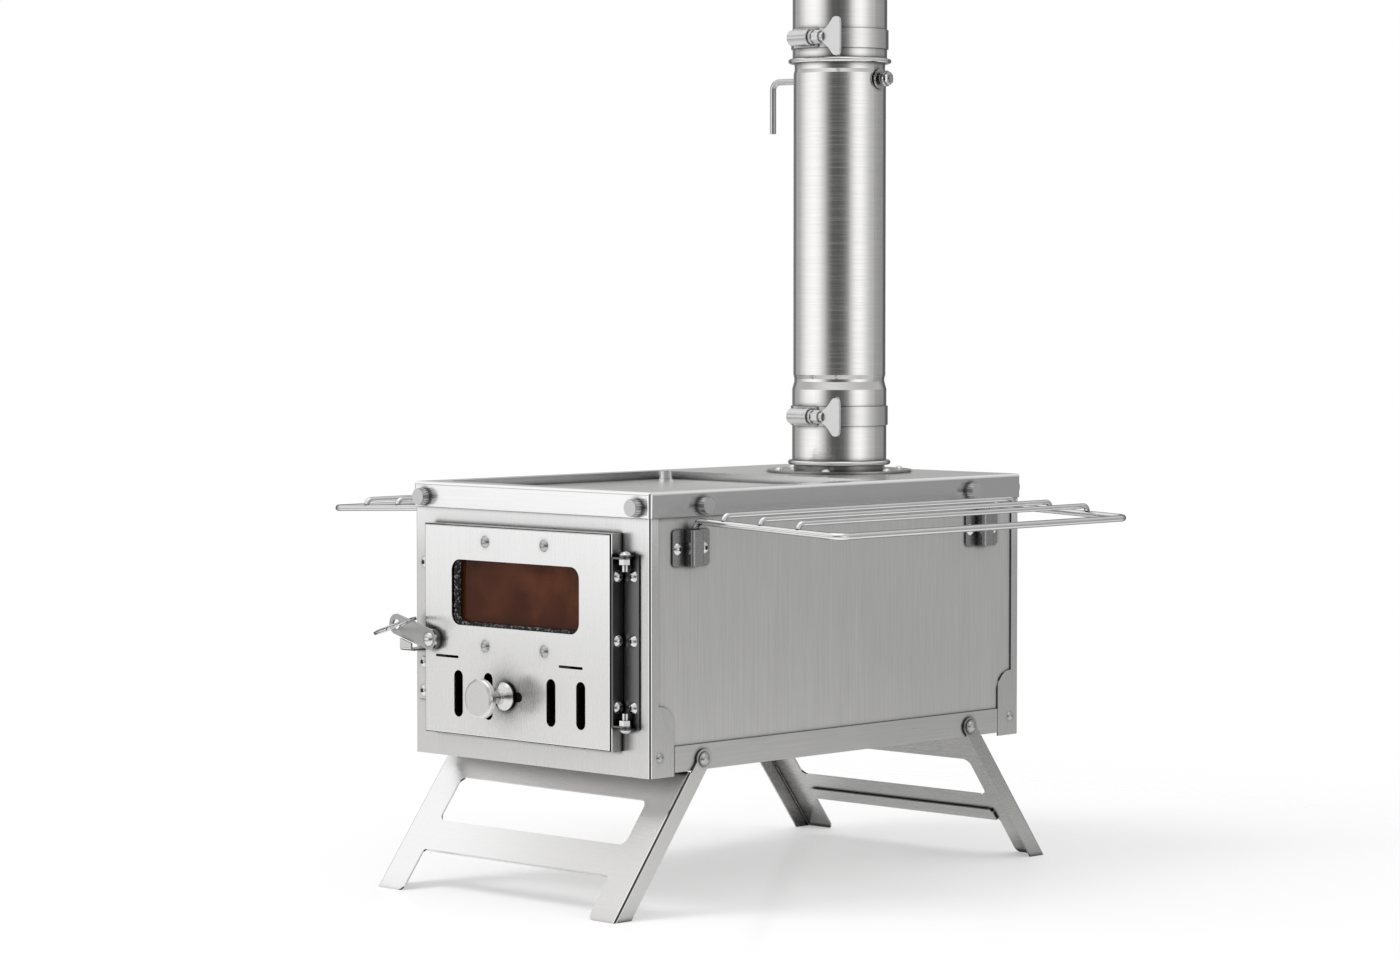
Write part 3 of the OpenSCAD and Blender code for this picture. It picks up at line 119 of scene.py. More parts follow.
# one node tree, with its nodes made through node()
class Finish:
    def __init__(self, name, tree=None):
        self.material = None
        if tree is None:
            self.material = bpy.data.materials.new(name)
            self.material.use_nodes = True
            tree = self.material.node_tree
        tree.nodes.clear()
        self.tree = tree
        self.kept = {}

    def node(self, kind, settings=None, sockets=(), out=0):
        made = self.tree.nodes.new(kind)
        for key, setting in (settings or {}).items():
            if key == "stops":
                self.setStops(made.color_ramp, setting)
            else:
                setattr(made, key, setting)
        pairs = sockets.items() if isinstance(sockets, dict) else enumerate(sockets)
        for key, value in pairs:
            if isinstance(value, Value):
                self.tree.links.new(value.socket, made.inputs[key])
            elif value is not None:
                made.inputs[key].default_value = value
        return Value(self, made.outputs[out])

    def setStops(self, ramp, stops):
        while len(ramp.elements) < len(stops):
            ramp.elements.new(1.0)
        for element, (place, colour) in zip(ramp.elements, stops):
            element.position = place
            element.color = (*colour, 1.0)

    def parts(self, vector):
        split = self.node("ShaderNodeSeparateXYZ", sockets=[vector]).socket.node
        return {letter: Value(self, split.outputs[number]) for number, letter in enumerate("xyz")}

    # object coordinates, or one of their parts
    def place(self, part=None):
        if "place" not in self.kept:
            self.kept["place"] = self.node("ShaderNodeTexCoord", out="Object")
            self.kept.update(self.parts(self.kept["place"]))
        return self.kept[part or "place"]

    # how far the surface faces along an axis, -1 to 1
    def facing(self, part):
        if "facing" not in self.kept:
            self.kept["facing"] = self.parts(self.node("ShaderNodeTexCoord", out="Normal"))
        return self.kept["facing"][part]

    # 1 where a part of the place lies between two values in firebox millimetres
    def between(self, part, low, high):
        return (self.place(part) > onAxis(part, low)) * (self.place(part) < onAxis(part, high))

    def noise(self, scale, detail=2.0, roughness=0.5):
        where = self.node("ShaderNodeMapping", sockets={0: self.place(), 3: scale})
        values = {"Vector": where, "Scale": 1.0, "Detail": detail, "Roughness": roughness}
        return self.node("ShaderNodeTexNoise", None, values)

    # 1 on an open face, falling to 0 where other faces stand close to it
    def open(self, distance, low=0.2, high=0.98, towards=None):
        values = {"Distance": distance, "Normal": towards}
        near = self.node("ShaderNodeAmbientOcclusion", {"samples": 6}, values, out="AO")
        return near.spread(low, high)

    # 1 on a bend between two flat faces, and 1 on the middle of it
    def bend(self, kind):
        flat = abs(self.facing("x"))
        if kind == "square":
            flat = flat.most(abs(self.facing("z"))).most(abs(self.facing("y")))
        limits = bendLimits[kind]
        return [math.prod(flat.spread(*pair) for pair in limits[part]) for part in ("bend", "crease")]

    # 0 where the surface faces the eye, 1 along its outline
    def rim(self, low, high):
        return self.node("ShaderNodeLayerWeight", None, {"Blend": 0.5}, out="Facing").spread(low, high)

    # distance from an axis through a point, along y
    def reach(self, point):
        flat = self.node("ShaderNodeVectorMath", {"operation": "SUBTRACT"}, [self.place(), point])
        flat = self.node("ShaderNodeVectorMath", {"operation": "MULTIPLY"}, [flat, (1.0, 0.0, 1.0)])
        return self.node("ShaderNodeVectorMath", {"operation": "LENGTH"}, [flat], out="Value")

    def rings(self, distance, scale):
        values = {"W": distance, "Scale": scale, "Detail": 3.0}
        return self.node("ShaderNodeTexNoise", {"noise_dimensions": "1D"}, values)

    def mixed(self, share, low, high):
        return self.node("ShaderNodeMix", {"data_type": "RGBA"}, {0: share, 6: low, 7: high}, out=2)

    def bump(self, height, depth, strength):
        return self.node("ShaderNodeBump", sockets={"Strength": strength, "Distance": depth, "Height": height})

    def surface(self, **sockets):
        named = {name.replace("_", " "): value for name, value in sockets.items()}
        self.output(self.node("ShaderNodeBsdfPrincipled", sockets=named))
        return self.material

    def output(self, shader, kind="ShaderNodeOutputMaterial"):
        end = self.tree.nodes.new(kind)
        self.tree.links.new(shader.socket, end.inputs["Surface"])


def grey(level, warmth=0.0):
    return (level * (1 + warmth), level, level * (1 - warmth), 1.0)


# noises summed round zero, each with its weight
def swing(noises, weights):
    return sum((noise - 0.5) * weight for noise, weight in zip(noises, weights))


# Brushed sheet: which way the hairlines run, how bright and how rough the steel is.
# fade: painted light, the colour brighter towards one end: axis, where it starts and where it is full in metres, how
# much brighter.
sheetLook = {
    "frontSheet": {
        "along": "z", "colour": 0.70, "rough": 0.29, "lines": 1.0, "shade": 0.8, "fade": ("z", 0.19, 0.232, 1.85),
    },
    "doorSheet": {"along": "z", "colour": 0.83, "rough": 0.27, "lines": 1.0, "fade": ("z", 0.12, 0.225, 1.7)},
    "sideSheet": {"along": "z", "colour": 0.74, "rough": 0.34, "lines": 1.8},
    "traySheet": {"along": "y", "colour": 0.68, "rough": 0.32, "lines": 1.6},
    "legSheet": {
        "along": "x", "colour": 0.76, "rough": 0.30, "lines": 0.9, "bend": "sloped", "fade": ("x", 0.07, -0.08, 1.85),
    },
    # the rear leg is the same steel as the front leg, painted darker as its shaded copy
    "rearLegShadedSheet": {"along": "x", "colour": 0.53, "rough": 0.26, "lines": 0.9, "bend": "sloped"},
    "coverSheet": {"along": "y", "colour": 0.98, "rough": 0.22, "lines": 0.4, "crease": 0.97},
    "latchSheet": {"along": "x", "colour": 0.48, "rough": 0.34, "lines": 0.5},
    "flueSheet": {"along": "round", "colour": 0.92, "rough": 0.09, "lines": 1.5, "depth": 0.00005},
    "bandSheet": {"along": "round", "colour": 0.80, "rough": 0.24, "lines": 0.8, "depth": 0.00012},
}
# shade and gap: levels of the painted contact shade; crease: colour of the painted reflection line down the middle of
# bends
sheetShared = {
    "shade": 0.55, "gap": 0.12, "crease": 0.05, "bend": "square", "depth": 0.00003,
    "tone": (0.42, 0.26), "cloud": 0.14, "uneven": (0.16, 0.08, 0.06), "relief": (0.7, 0.3),
}
contact = {"shade": (0.016,), "gap": (0.003, 0.5)}     # painted contact shade from occlusion: distance in metres, and where it is darkest
hairLength = {"x": (0.012, 1, 1), "y": (1, 0.012, 1), "z": (1, 1, 0.012), "round": (0.02, 0.02, 1)}
hairScale = {"fine": (3000.0, 3.0, 0.6), "broad": (900.0, 2.0, 0.5)}
warmth = 0.009
smoothest = 0.06

# painted shadow: the knob and the latch darken the door's colour where they would keep the key light off it
keyLight = Vector((-0.80, -0.52, 0.30)).normalized()
doorShade = {"open": (0.05, 0.62, 0.88, keyLight), "from": -0.052, "level": 0.12}

# painted shade on the cover's x-facing sides and painted light on its y-facing ends
coverRim = {"sides": 0.64, "ends": 0.97}
# bends: smoother roughness, plus a painted highlight in their colour
bentSheet = {"smoother": 0.8, "paintedHighlight": 0.8, "level": 0.96}
rolledSheet = {
    "comb": (10.0, 10.0, 950.0), "combed": (0.40, 0.62), "rough": 0.12,
    "plainEnds": ((169, 224), (423, 478)), "smoother": 0.5,
    "rim": (0.60, 0.74), "rimReflectionLevel": 0.16,
}

# inside the firebox the sheets carry soot and heat tint, in a red-brown that is partly painted firelight
firedSheet = {
    "space": {"x": (-98.7, 98.7), "y": (0.4, 329.6), "z": (2.5, 164.1)},
    "scale": (30.0, 30.0, 18.0),
    "stops": [(0.34, (0.06, 0.024, 0.014)), (0.50, (0.22, 0.085, 0.035)), (0.66, (0.40, 0.17, 0.07))],
    "dull": 0.4,
    "rough": 0.22,
}


def hairlines(finish, along):
    return [
        finish.noise([scale * share for share in hairLength[along]], detail, roughness)
        for scale, detail, roughness in hairScale.values()
    ]


def brushedSheet(name):
    look = {**sheetShared, **sheetLook[name]}
    level = look["colour"]
    finish = Finish(name)
    fine, broad = hairlines(finish, look["along"])
    fired = math.prod(finish.between(axis, *limits) for axis, limits in firedSheet["space"].items())
    if name == "coverSheet":
        fired = fired * (finish.facing("z") < -0.2)
        ends = abs(finish.facing("y")) > 0.5     # the rim's ends are brushed across
        fineEnd, broadEnd = hairlines(finish, "x")
        fine = fine + ends * (fineEnd - fine)
        broad = broad + ends * (broadEnd - broad)
    cloud = finish.noise((9.0, 9.0, 9.0), 3.0)

    toneWeights = [weight * look["lines"] for weight in look["tone"]] + [look["cloud"]]
    tone = (swing((fine, broad, cloud), toneWeights) + 0.5).held()
    steel = finish.mixed(tone, grey(level * 0.80, warmth), grey(min(level * 1.2, 0.95), warmth))
    if "fade" in look:
        # painted light: brighter towards the top of the front panel and door, and towards one side of the front leg
        axis, low, high, more = look["fade"]
        steel = finish.mixed(finish.place(axis).spread(low, high, 0.0, more - 1.0), steel, grey(1.0))
    if name == "coverSheet":
        # painted shade on the x-facing sides, painted light on the y-facing ends
        steel = finish.mixed(abs(finish.facing("x")), steel, grey(level * coverRim["sides"]))
        steel = finish.mixed(ends, steel, grey(coverRim["ends"]))
    # painted contact shade: the colour darkens where other faces stand close, faintly further off and darkest in
    # tight gaps
    for part, limits in contact.items():
        steel = finish.mixed(finish.open(*limits), grey(level * look[part], warmth), steel)
    if name == "doorSheet":
        # painted shadow of the knob and latch from occlusion towards the key light; back faces and the door's far
        # left are left out
        outsidePaintedShadow = (finish.facing("y") > -0.5).most(finish.place("x") < doorShade["from"])
        shaded = finish.open(*doorShade["open"]).most(outsidePaintedShadow)
        steel = finish.mixed(shaded, grey(level * doorShade["level"], warmth), steel)

    rough = swing((fine, broad, cloud), look["uneven"]) + look["rough"]
    if look["along"] == "round":
        combed = finish.noise(rolledSheet["comb"], 2.0, 0.5).spread(*rolledSheet["combed"])
        plain = sum(finish.between("z", *limits) for limits in rolledSheet["plainEnds"])
        rough = (rough + combed * rolledSheet["rough"]) * (1.0 - plain * rolledSheet["smoother"])
        # painted dark reflection along the pipe's outline, where it turns from the eye
        steel = finish.mixed(finish.rim(*rolledSheet["rim"]), steel, grey(rolledSheet["rimReflectionLevel"]))
    else:
        bend, crease = finish.bend(look["bend"])
        rough = rough * (1.0 - bend * bentSheet["smoother"])     # the press leaves the bends smoother
        # painted highlight along the bends, and a painted reflection line down their middle: dark on most sheets,
        # bright on the cover
        steel = finish.mixed(bend * bentSheet["paintedHighlight"], steel, grey(bentSheet["level"]))
        steel = finish.mixed(crease, steel, grey(look["crease"]))

    soot = finish.noise(firedSheet["scale"], 5.0, 0.6)
    tint = finish.node("ShaderNodeValToRGB", {"stops": firedSheet["stops"]}, [soot])
    fineRelief, broadRelief = look["relief"]
    return finish.surface(
        Base_Color=finish.mixed(fired, steel, tint),
        Metallic=1.0 - fired * firedSheet["dull"],
        Roughness=(rough + fired * firedSheet["rough"]).most(smoothest),
        Normal=finish.bump(fine * fineRelief + broad * broadRelief, look["depth"], 0.3),
    )


# cast, drawn and turned pieces
partLook = {
    "rodSteel": {"colour": 0.62, "rough": 0.12, "grain": 1200.0, "depth": 0.00002, "rim": (0.5, 0.85)},
    "wireSteel": {"colour": 0.86, "rough": 0.08, "grain": 900.0, "depth": 0.00001, "rim": (0.42, 0.74)},
    "hardwareSteel": {"colour": 0.78, "rough": 0.16, "grain": 1400.0, "depth": 0.00002},
    "thumbSteel": {"colour": 0.66, "rough": 0.30, "grain": 1500.0, "depth": 0.00006},
    "screwSteel": {"colour": 0.52, "rough": 0.20, "grain": 1400.0, "depth": 0.00002},
    "hingeSteel": {"colour": 0.20, "rough": 0.34, "grain": 900.0, "depth": 0.00003},
    "bracketSteel": {"colour": 0.40, "rough": 0.26, "grain": 1100.0, "depth": 0.00008},
    "housingSteel": {"colour": 0.72, "rough": 0.32, "grain": 1300.0, "depth": 0.00006},
    "keySteel": {"colour": 0.86, "rough": 0.42, "grain": 1600.0, "depth": 0.00002},
    "nutSteel": {"colour": 0.45, "rough": 0.35, "grain": 1200.0, "depth": 0.00002},
}
partShared = {
    "tone": (0.4, 0.5), "uneven": (0.6, 0.4), "dark": 0.82, "bright": 1.15,
    "gap": (0.005, 0.25), "gapLevel": 0.15, "rimReflectionLevel": 0.07,
}


def turnedPiece(name):
    look = {**partShared, **partLook[name]}
    level = look["colour"]
    finish = Finish(name)
    scratch = finish.noise([look["grain"]] * 3, 4.0, 0.65)
    cloud = finish.noise((60.0, 60.0, 60.0))
    tone = (swing((scratch, cloud), look["tone"]) + 0.5).held()
    colour = finish.mixed(tone, grey(level * look["dark"]), grey(min(level * look["bright"], 0.95)))
    # painted contact shade where other faces stand close
    colour = finish.mixed(finish.open(*look["gap"]), grey(level * look["gapLevel"]), colour)
    if "rim" in look:     # painted dark reflection along the drawn wire's sides, where it turns from the eye
        colour = finish.mixed(finish.rim(*look["rim"]), colour, grey(look["rimReflectionLevel"]))
    rough = (swing((scratch, cloud), look["uneven"]) + 1.0) * look["rough"]
    return finish.surface(
        Base_Color=colour,
        Metallic=1.0,
        Roughness=rough.most(smoothest),
        Normal=finish.bump(scratch, look["depth"], 0.4),
    )


# the knob shows the lathe's rings round its own axis, and its face is duller
knobLook = {
    "rings": 2600.0, "dark": 0.70, "bright": 0.78, "face": 0.70, "faceDepth": 0.0004,
    "gap": (0.010, 0.3), "gapLevel": 0.10, "rough": 0.10, "ringRough": 0.10, "faceRough": 0.16,
}


def lathedKnob():
    look = knobLook
    finish = Finish("lathedKnob")
    low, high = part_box("air_knob")
    rings = finish.rings(finish.reach((low + high) / 2), look["rings"])
    face = finish.place("y") < low.y + look["faceDepth"]
    rough = (rings - 0.5) * look["ringRough"] + face * look["faceRough"] + look["rough"]
    colour = finish.mixed(rings.spread(0.3, 0.7), grey(look["dark"], warmth), grey(look["bright"], warmth))
    # painted contact shade round the knob's neck, kept off its face
    colour = finish.mixed(finish.open(*look["gap"]).most(face), grey(look["gapLevel"]), colour)
    colour = finish.mixed(face, colour, grey(look["face"], warmth))
    return finish.surface(
        Base_Color=colour, Metallic=1.0, Roughness=rough.most(0.08), Normal=finish.bump(rings, 0.00001, 0.3)
    )


# heat-tinted sheet; heatDark scales its colours
heatShades = [
    (0.30, (0.05, 0.045, 0.05)), (0.48, (0.16, 0.10, 0.07)), (0.62, (0.30, 0.22, 0.15)), (0.80, (0.20, 0.20, 0.22)),
]
heatDark = {"heatedPlate": 1.0, "sliderPlate": 0.12}


def heatedSteel(name):
    finish = Finish(name)
    cloud = finish.noise((22.0, 22.0, 22.0), 5.0, 0.6)
    speck = finish.noise((500.0, 500.0, 500.0), 3.0, 0.6)
    stops = [(place, [part * heatDark[name] for part in shade]) for place, shade in heatShades]
    return finish.surface(
        Base_Color=finish.node("ShaderNodeValToRGB", {"stops": stops}, [cloud]),
        Metallic=0.7,
        Roughness=speck * 0.2 + cloud * 0.3 + 0.35,
        Normal=finish.bump(speck, 0.00005, 0.4),
    )


# window glass with a brown haze from the heat, its red-brown partly painted firelight
glassLook = {"clean": (0.26, 0.07, 0.03, 1.0), "hazy": (0.52, 0.18, 0.07, 1.0), "through": 0.86, "index": 1.2}


def stoveGlass():
    finish = Finish("stoveGlass")
    haze = finish.noise((35.0, 35.0, 35.0), 4.0)
    smear = finish.noise((300.0, 40.0, 40.0), 3.0)
    return finish.surface(
        Base_Color=finish.mixed(haze.spread(0.35, 0.7), glassLook["clean"], glassLook["hazy"]),
        Roughness=(haze * 0.04 + smear * 0.03).most(0.01),
        IOR=glassLook["index"],
        Transmission_Weight=glassLook["through"],
    )


# black glass-fibre yarn with pale fibres in it
yarnLook = {"black": 0.012, "pale": 0.24, "fibres": (0.51, 0.62), "gap": (0.0012, 0.35)}


def gasketYarn():
    finish = Finish("gasketYarn")
    speck = finish.noise((560.0, 560.0, 560.0), 3.0)
    # painted shade: the pale fibres go dark where the yarns stand close
    tone = speck.spread(*yarnLook["fibres"]) * finish.open(*yarnLook["gap"])
    return finish.surface(
        Base_Color=finish.mixed(tone, grey(yarnLook["black"]), grey(yarnLook["pale"], -0.02)),
        Roughness=0.85,
        Normal=finish.bump(speck, 0.0002, 0.6),
    )


finishes = {name: brushedSheet(name) for name in sheetLook}
finishes.update({name: turnedPiece(name) for name in partLook})
finishes.update({name: heatedSteel(name) for name in heatDark})
finishes["lathedKnob"] = lathedKnob()
finishes["stoveGlass"] = stoveGlass()
finishes["gasketYarn"] = gasketYarn()

# every node that isn't named here is hardwareSteel
finishOf = {
    "frontSheet": ["front_panel", "rear_panel", "latch_keeper"],
    "doorSheet": ["door_skin"],
    "latchSheet": ["latch_arm"],
    "sideSheet": ["left_side_panel", "right_side_panel"],
    "traySheet": ["bottom_tray"],
    "legSheet": ["front_leg"],
    "rearLegShadedSheet": ["rear_leg"],
    "flueSheet": ["damper_pipe", "upper_pipe", "flue_collar"],
    "bandSheet": ["lower_clamp_band", "upper_clamp_band"],
    "coverSheet": ["top_cover"],
    "bracketSteel": ["rack_brackets"],
    "housingSteel": ["lower_clamp_housing", "upper_clamp_housing"],
    "keySteel": ["lower_clamp_key", "upper_clamp_key"],
    "heatedPlate": ["fire_grate", "damper_plate", "glass_frame"],
    "sliderPlate": ["air_shutter", "shutter_guides", "air_knob_screw"],
    "stoveGlass": ["door_glass"],
    "lathedKnob": ["air_knob"],
    "thumbSteel": ["cover_screws"],
    "screwSteel": ["glass_screws", "corner_tab_screws", "leg_pivot_screws"],
    "hingeSteel": ["door_hinge_leaf", "body_hinge_leaf", "latch_spacer"],
    "nutSteel": ["clinch_nuts", "flue_collar_nuts", "glass_spacers", "leg_pivot_nuts"],
    "wireSteel": ["right_rack_frame", "right_rack_rods", "left_rack_frame", "left_rack_rods"],
    "rodSteel": ["damper_rod", "damper_spring"],
}
wears = {node: name for name, wearing in finishOf.items() for node in wearing}
for node, piece in nodes.items():
    piece.data.materials.clear()
    piece.data.materials.append(finishes[wears.get(node, "hardwareSteel")])
print("stove: finishes set")


# mesh of one or more swept tubes; each is a list of rings of points
def sweptMesh(name, tubes, closed):
    mesh = bpy.data.meshes.new(name)
    shape = bmesh.new()
    for rings in tubes:
        rows = [[shape.verts.new(point) for point in ring] for ring in rings]
        count = len(rows[0])
        pairs = list(zip(rows, rows[1:] + rows[:1])) if closed else list(zip(rows, rows[1:]))
        for low, high in pairs:
            for side in range(count):
                nextSide = (side + 1) % count
                shape.faces.new((low[side], low[nextSide], high[nextSide], high[side]))
        if not closed:
            shape.faces.new(rows[0][::-1])
            shape.faces.new(rows[-1])
    bmesh.ops.recalc_face_normals(shape, faces=shape.faces)
    for face in shape.faces:
        face.smooth = len(face.verts) == 4
    shape.to_mesh(mesh)
    shape.free()
    return mesh


def addPiece(name, mesh, finish, body, replaced):
    mesh.materials.append(finishes[finish])
    piece = bpy.data.objects.new(name, mesh)
    bpy.context.scene.collection.objects.link(piece)
    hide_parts(replaced)
    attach(piece, body)
    return piece


# braided rope between the door and its glass, all round the window, in millimetres
gasketRope = {
    "wide": 5.0, "deep": 1.45, "corner": 9.0, "step": 0.85,
    "left": 6.2, "right": 2.45, "bottom": 3.6, "top": 1.7,     # how far in from the solid's edges
    "yarns": 10, "yarn": 0.56, "yarnSides": 6, "pitch": 13.0, "lift": 0.2,
    "core": 0.95, "coreSides": 10, "cornerSteps": 8,
}


# evenly spaced points round a rectangle with rounded corners, and its length
def roundedRectangle(low, high, corner, step, cornerSteps):
    centres = [
        (high.x - corner, high.z - corner), (low.x + corner, high.z - corner),
        (low.x + corner, low.z + corner), (high.x - corner, low.z + corner),
    ]
    points = []
    for number, (x, z) in enumerate(centres):
        for part in range(cornerSteps + 1):
            angle = math.radians(90 * number + 90 * part / cornerSteps)
            points.append(Vector((x + corner * math.cos(angle), 0.0, z + corner * math.sin(angle))))
    lengths = [0.0]
    for one, other in zip(points, points[1:] + points[:1]):
        lengths.append(lengths[-1] + (other - one).length)
    count = int(lengths[-1] / step)
    line, spot = [], 0
    for number in range(count):
        wanted = lengths[-1] * number / count
        while lengths[spot + 1] < wanted:
            spot += 1
        share = (wanted - lengths[spot]) / (lengths[spot + 1] - lengths[spot])
        line.append(points[spot].lerp(points[(spot + 1) % len(points)], share))
    return line, lengths[-1]


# directions of a closed line at its points
def directions(line):
    return [(line[(i + 1) % len(line)] - line[i - 1]).normalized() for i in range(len(line))]


def tubeRings(line, ahead, out, radius, sides):
    rings = []
    for point, along, outward in zip(line, ahead, out):
        across = along.cross(outward).normalized()
        up = across.cross(along).normalized()
        angles = [2 * math.pi * k / sides for k in range(sides)]
        rings.append([point + radius * (math.cos(angle) * across + math.sin(angle) * up) for angle in angles])
    return rings


def buildGasket():
    look = gasketRope
    low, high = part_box("door_gasket")
    line, length = roundedRectangle(
        low + Vector((look["left"], 0, look["bottom"])) * mm,
        high - Vector((look["right"], 0, look["top"])) * mm,
        (look["corner"] - look["wide"] / 2) * mm,
        look["step"] * mm,
        look["cornerSteps"],
    )
    count = len(line)
    inward = Vector((0.0, 1.0, 0.0))
    outward = [tangent.cross(inward) for tangent in directions(line)]
    middle = Vector((0.0, (low.y + high.y) / 2, 0.0))
    wide = (look["wide"] / 2 - look["yarn"] - look["lift"]) * mm
    deep = look["deep"] * mm

    # a point on the rope's oval section
    def section(i, angle, share=1.0):
        across = outward[i] * math.cos(angle) * wide * share
        return line[i] + middle + across + inward * math.sin(angle) * deep * share

    turns = max(1, round(length / (look["pitch"] * mm)))
    tubes = []
    for number in range(look["yarns"]):
        way = 1 if number % 2 else -1
        start = 2 * math.pi * (number // 2) / (look["yarns"] / 2)
        path, out = [], []
        for i in range(count):
            angle = start + way * 2 * math.pi * turns * i / count
            crossing = way * look["lift"] * mm * math.sin(angle * look["yarns"] / 2)
            spoke = outward[i] * math.cos(angle) + inward * math.sin(angle)
            path.append(section(i, angle) + spoke * crossing)
            out.append(spoke)
        tubes.append(tubeRings(path, directions(path), out, look["yarn"] * mm, look["yarnSides"]))
    coreAngles = [2 * math.pi * k / look["coreSides"] for k in range(look["coreSides"])]
    tubes.append([[section(i, angle, look["core"]) for angle in coreAngles] for i in range(count)])
    addPiece("gasketRope", sweptMesh("gasketRope", tubes, True), "gasketYarn", "door", "door_gasket")


# split ring: two turns of flat wire, stepped over each other where its ends lie, in millimetres
splitRing = {
    "hole": (-101.57, -14.1, 78.408), "run": (0.676, 0.653, 0.342), "lie": (0.695, -0.719, 0.0),
    "mean": 25.8, "wide": 0.86, "high": 1.66, "between": 0.08, "steps": 150,
    "lap": 0.34,     # half of the step, in radians
    "section": ((-1, -0.6), (-0.6, -1), (0.6, -1), (1, -0.6), (1, 0.6), (0.6, 1), (-0.6, 1), (-1, 0.6)),
}


def buildRing():
    look = splitRing
    run, lie = Vector(look["run"]).normalized(), Vector(look["lie"]).normalized()
    axis = run.cross(lie).normalized()
    radius = look["mean"] / 2 * mm
    middle = at(*look["hole"]) + lie * radius
    lap, steps = look["lap"], look["steps"]
    rings = []
    for i in range(steps + 1):
        turn = lap + (4 * math.pi - 2 * lap) * i / steps
        share = min(max((turn - 2 * math.pi + lap) / (2 * lap), 0.0), 1.0)
        side = (share * share * (3 - 2 * share) - 0.5) * (look["wide"] + look["between"]) * mm
        spoke = -run * math.sin(turn) + lie * math.cos(turn)
        point = middle + spoke * radius + axis * side
        rings.append([
            point + axis * across * look["wide"] / 2 * mm + spoke * up * look["high"] / 2 * mm
            for across, up in look["section"]
        ])
    addPiece("splitRing", sweptMesh("splitRing", [rings], False), "wireSteel", "ring", "latch_ring")


buildGasket()
buildRing()
print("stove: gasket and ring made")


# camera, with its angles in degrees and its lens in millimetres
view = {"place": (1.6953, -1.76795, 0.3595), "pitch": -2.736, "turn": 44.04, "lens": 102.2, "sensor": 36.0}
camera = bpy.data.objects.new("camera", bpy.data.cameras.new("camera"))
camera.location = view["place"]
camera.rotation_euler = (math.radians(90 + view["pitch"]), 0.0, math.radians(view["turn"]))
camera.data.lens = view["lens"]
camera.data.sensor_width = view["sensor"]
camera.data.clip_start = 0.05
bpy.context.scene.collection.objects.link(camera)
bpy.context.scene.camera = camera
bpy.context.scene.view_settings.view_transform = "Standard"


# What bright metal mirrors. Cards: degrees round the stove, and how bright they are.
studio = {
    "cards": [
        (-180, 0.45), (-148, 0.42), (-123, 0.44), (-105, 0.76), (-90, 1.02), (-76, 1.12), (-66, 1.14), (-54, 1.0),
        (-40, 0.62), (-30, 0.27), (-20, 0.12), (-5, 0.10), (8, 0.15), (18, 0.30), (28, 0.70), (38, 1.02), (50, 1.12),
        (60, 0.98), (75, 0.66), (90, 0.47), (105, 0.36), (123, 0.31), (148, 0.28), (165, 0.2), (180, 0.45),
    ],
    "turned": 46.0,
    "above": {"level": 0.82, "more": 0.22, "towards": -141.0},
    "fill": 0.85,
}
# over and under the cards: where a band starts and is full, by the ray's height, and how bright it is
studioBands = [
    (0.16, 0.24, 0.5), (0.34, 0.54, "above"), (-0.12, -0.20, 0.30),
    (-0.25, -0.36, 0.62), (-0.44, -0.58, 0.82), (0.86, 0.95, 1.4),
]


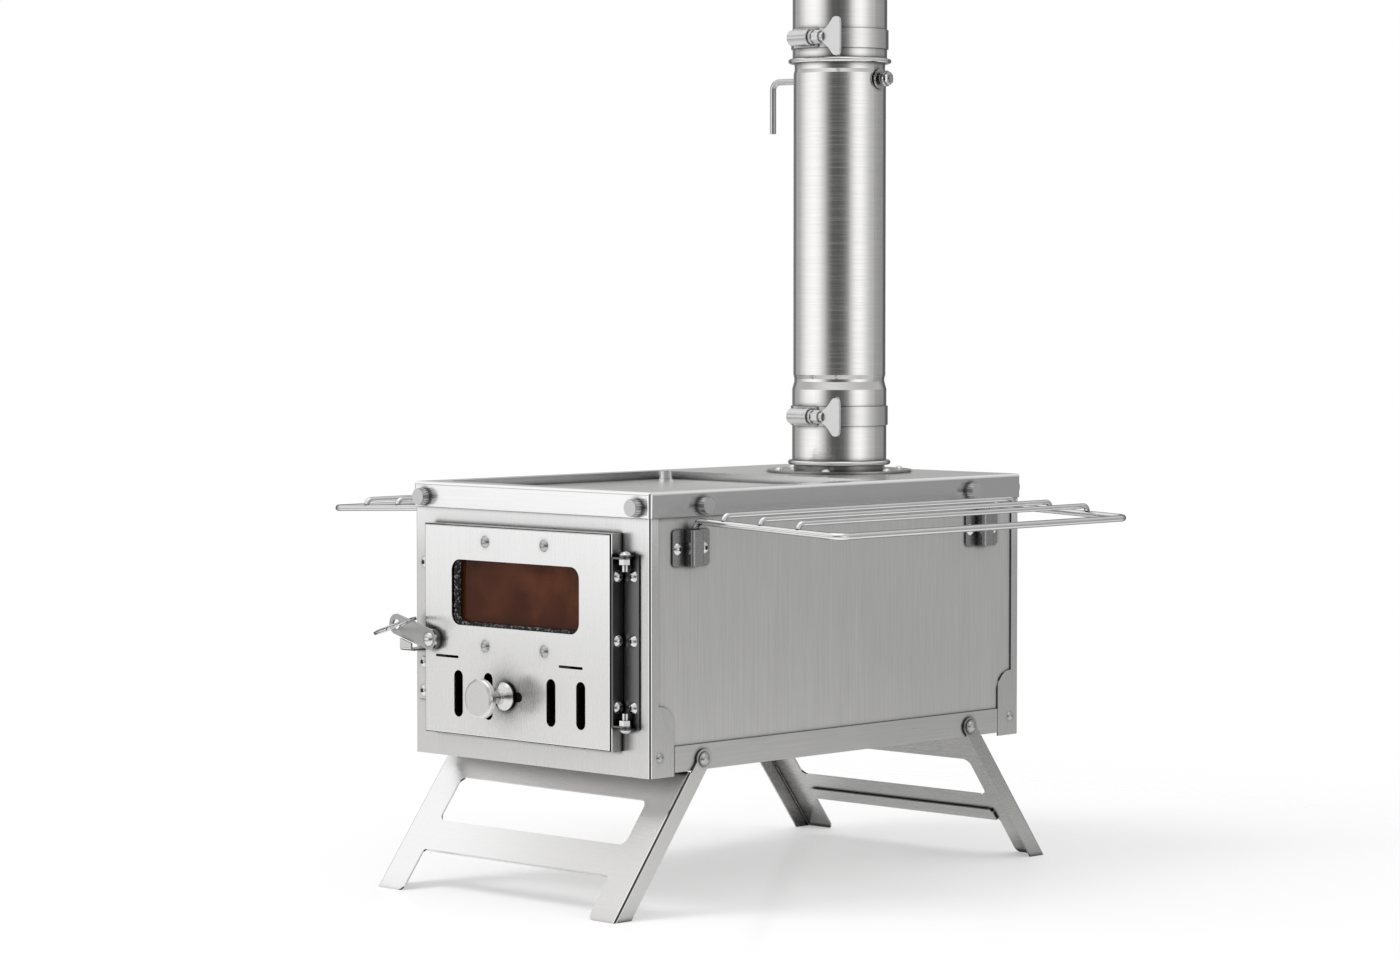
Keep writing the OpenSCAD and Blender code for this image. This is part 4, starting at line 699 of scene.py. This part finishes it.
def studioWorld():
    world = bpy.data.worlds.new("studio")
    bpy.context.scene.world = world
    world.use_nodes = True
    finish = Finish("studio", world.node_tree)
    ray = finish.parts(finish.node("ShaderNodeTexCoord", out="Generated"))
    turn = ray["y"].maths("ARCTAN2", ray["y"], ray["x"]) / (2 * math.pi) + (0.5 + studio["turned"] / 360)
    turn = turn.maths("FRACT", turn)
    stops = [((angle + 180) / 360, (level, level, level)) for angle, level in studio["cards"]]
    seen = finish.node("ShaderNodeValToRGB", {"stops": stops}, [turn])
    above = studio["above"]
    key = math.radians(above["towards"])
    overCards = (ray["x"] * math.cos(key) + ray["y"] * math.sin(key)) * above["more"] + above["level"]
    for low, high, level in studioBands:
        seen = finish.mixed(ray["z"].spread(low, high), seen, overCards if level == "above" else grey(level))
    path = finish.node("ShaderNodeLightPath").socket.node.outputs
    straight = Value(finish, path["Is Camera Ray"]).most(Value(finish, path["Is Transmission Ray"]))
    light = finish.mixed(Value(finish, path["Is Glossy Ray"]), grey(studio["fill"]), seen)
    light = finish.mixed(straight, light, grey(1.0))
    finish.output(finish.node("ShaderNodeBackground", sockets=[light, 1.0]), "ShaderNodeOutputWorld")


lampAim = (0.0, 0.0, 0.15)
lamps = {
    "keyLamp": {"place": (-0.6, -1.2, 1.9), "size": (1.0, 1.0), "watts": 22},
    "sideLamp": {"place": (1.7, 0.6, 1.4), "size": (1.0, 1.4), "watts": 5},
}


def softLamp(name, look):
    lamp = bpy.data.objects.new(name, bpy.data.lights.new(name, "AREA"))
    lamp.data.shape = "RECTANGLE"
    lamp.data.size, lamp.data.size_y = look["size"]
    lamp.data.energy = look["watts"]
    lamp.location = look["place"]
    lamp.rotation_euler = (Vector(lampAim) - Vector(look["place"])).to_track_quat("-Z", "Y").to_euler()
    lamp.visible_glossy = False
    bpy.context.scene.collection.objects.link(lamp)


# white floor that fades into the background away from the stove
floorLook = {"radius": 1.5, "chalk": 0.96, "shine": 0.14, "rough": 0.10, "fade": (0.25, 0.75, 0.35, 1.0)}


def studioFloor():
    look = floorLook
    finish = Finish("studioFloor")
    away = finish.node("ShaderNodeVectorMath", {"operation": "LENGTH"}, [finish.place()], out="Value")
    shine = finish.node("ShaderNodeBsdfGlossy", sockets={"Color": grey(1.0), "Roughness": look["rough"]})
    chalk = finish.node("ShaderNodeBsdfDiffuse", sockets={"Color": grey(look["chalk"])})
    whole = finish.node("ShaderNodeMixShader", sockets=[look["shine"], chalk, shine])
    clear = finish.node("ShaderNodeBsdfTransparent")
    finish.output(finish.node("ShaderNodeMixShader", sockets=[away.spread(*look["fade"]), whole, clear]))
    mesh = bpy.data.meshes.new("floor")
    shape = bmesh.new()
    bmesh.ops.create_circle(shape, cap_ends=True, segments=64, radius=look["radius"])
    shape.to_mesh(mesh)
    shape.free()
    mesh.materials.append(finish.material)
    floor = bpy.data.objects.new("floor", mesh)
    bpy.context.scene.collection.objects.link(floor)


studioWorld()
studioFloor()
for name, look in lamps.items():
    softLamp(name, look)
print("stove: studio set")
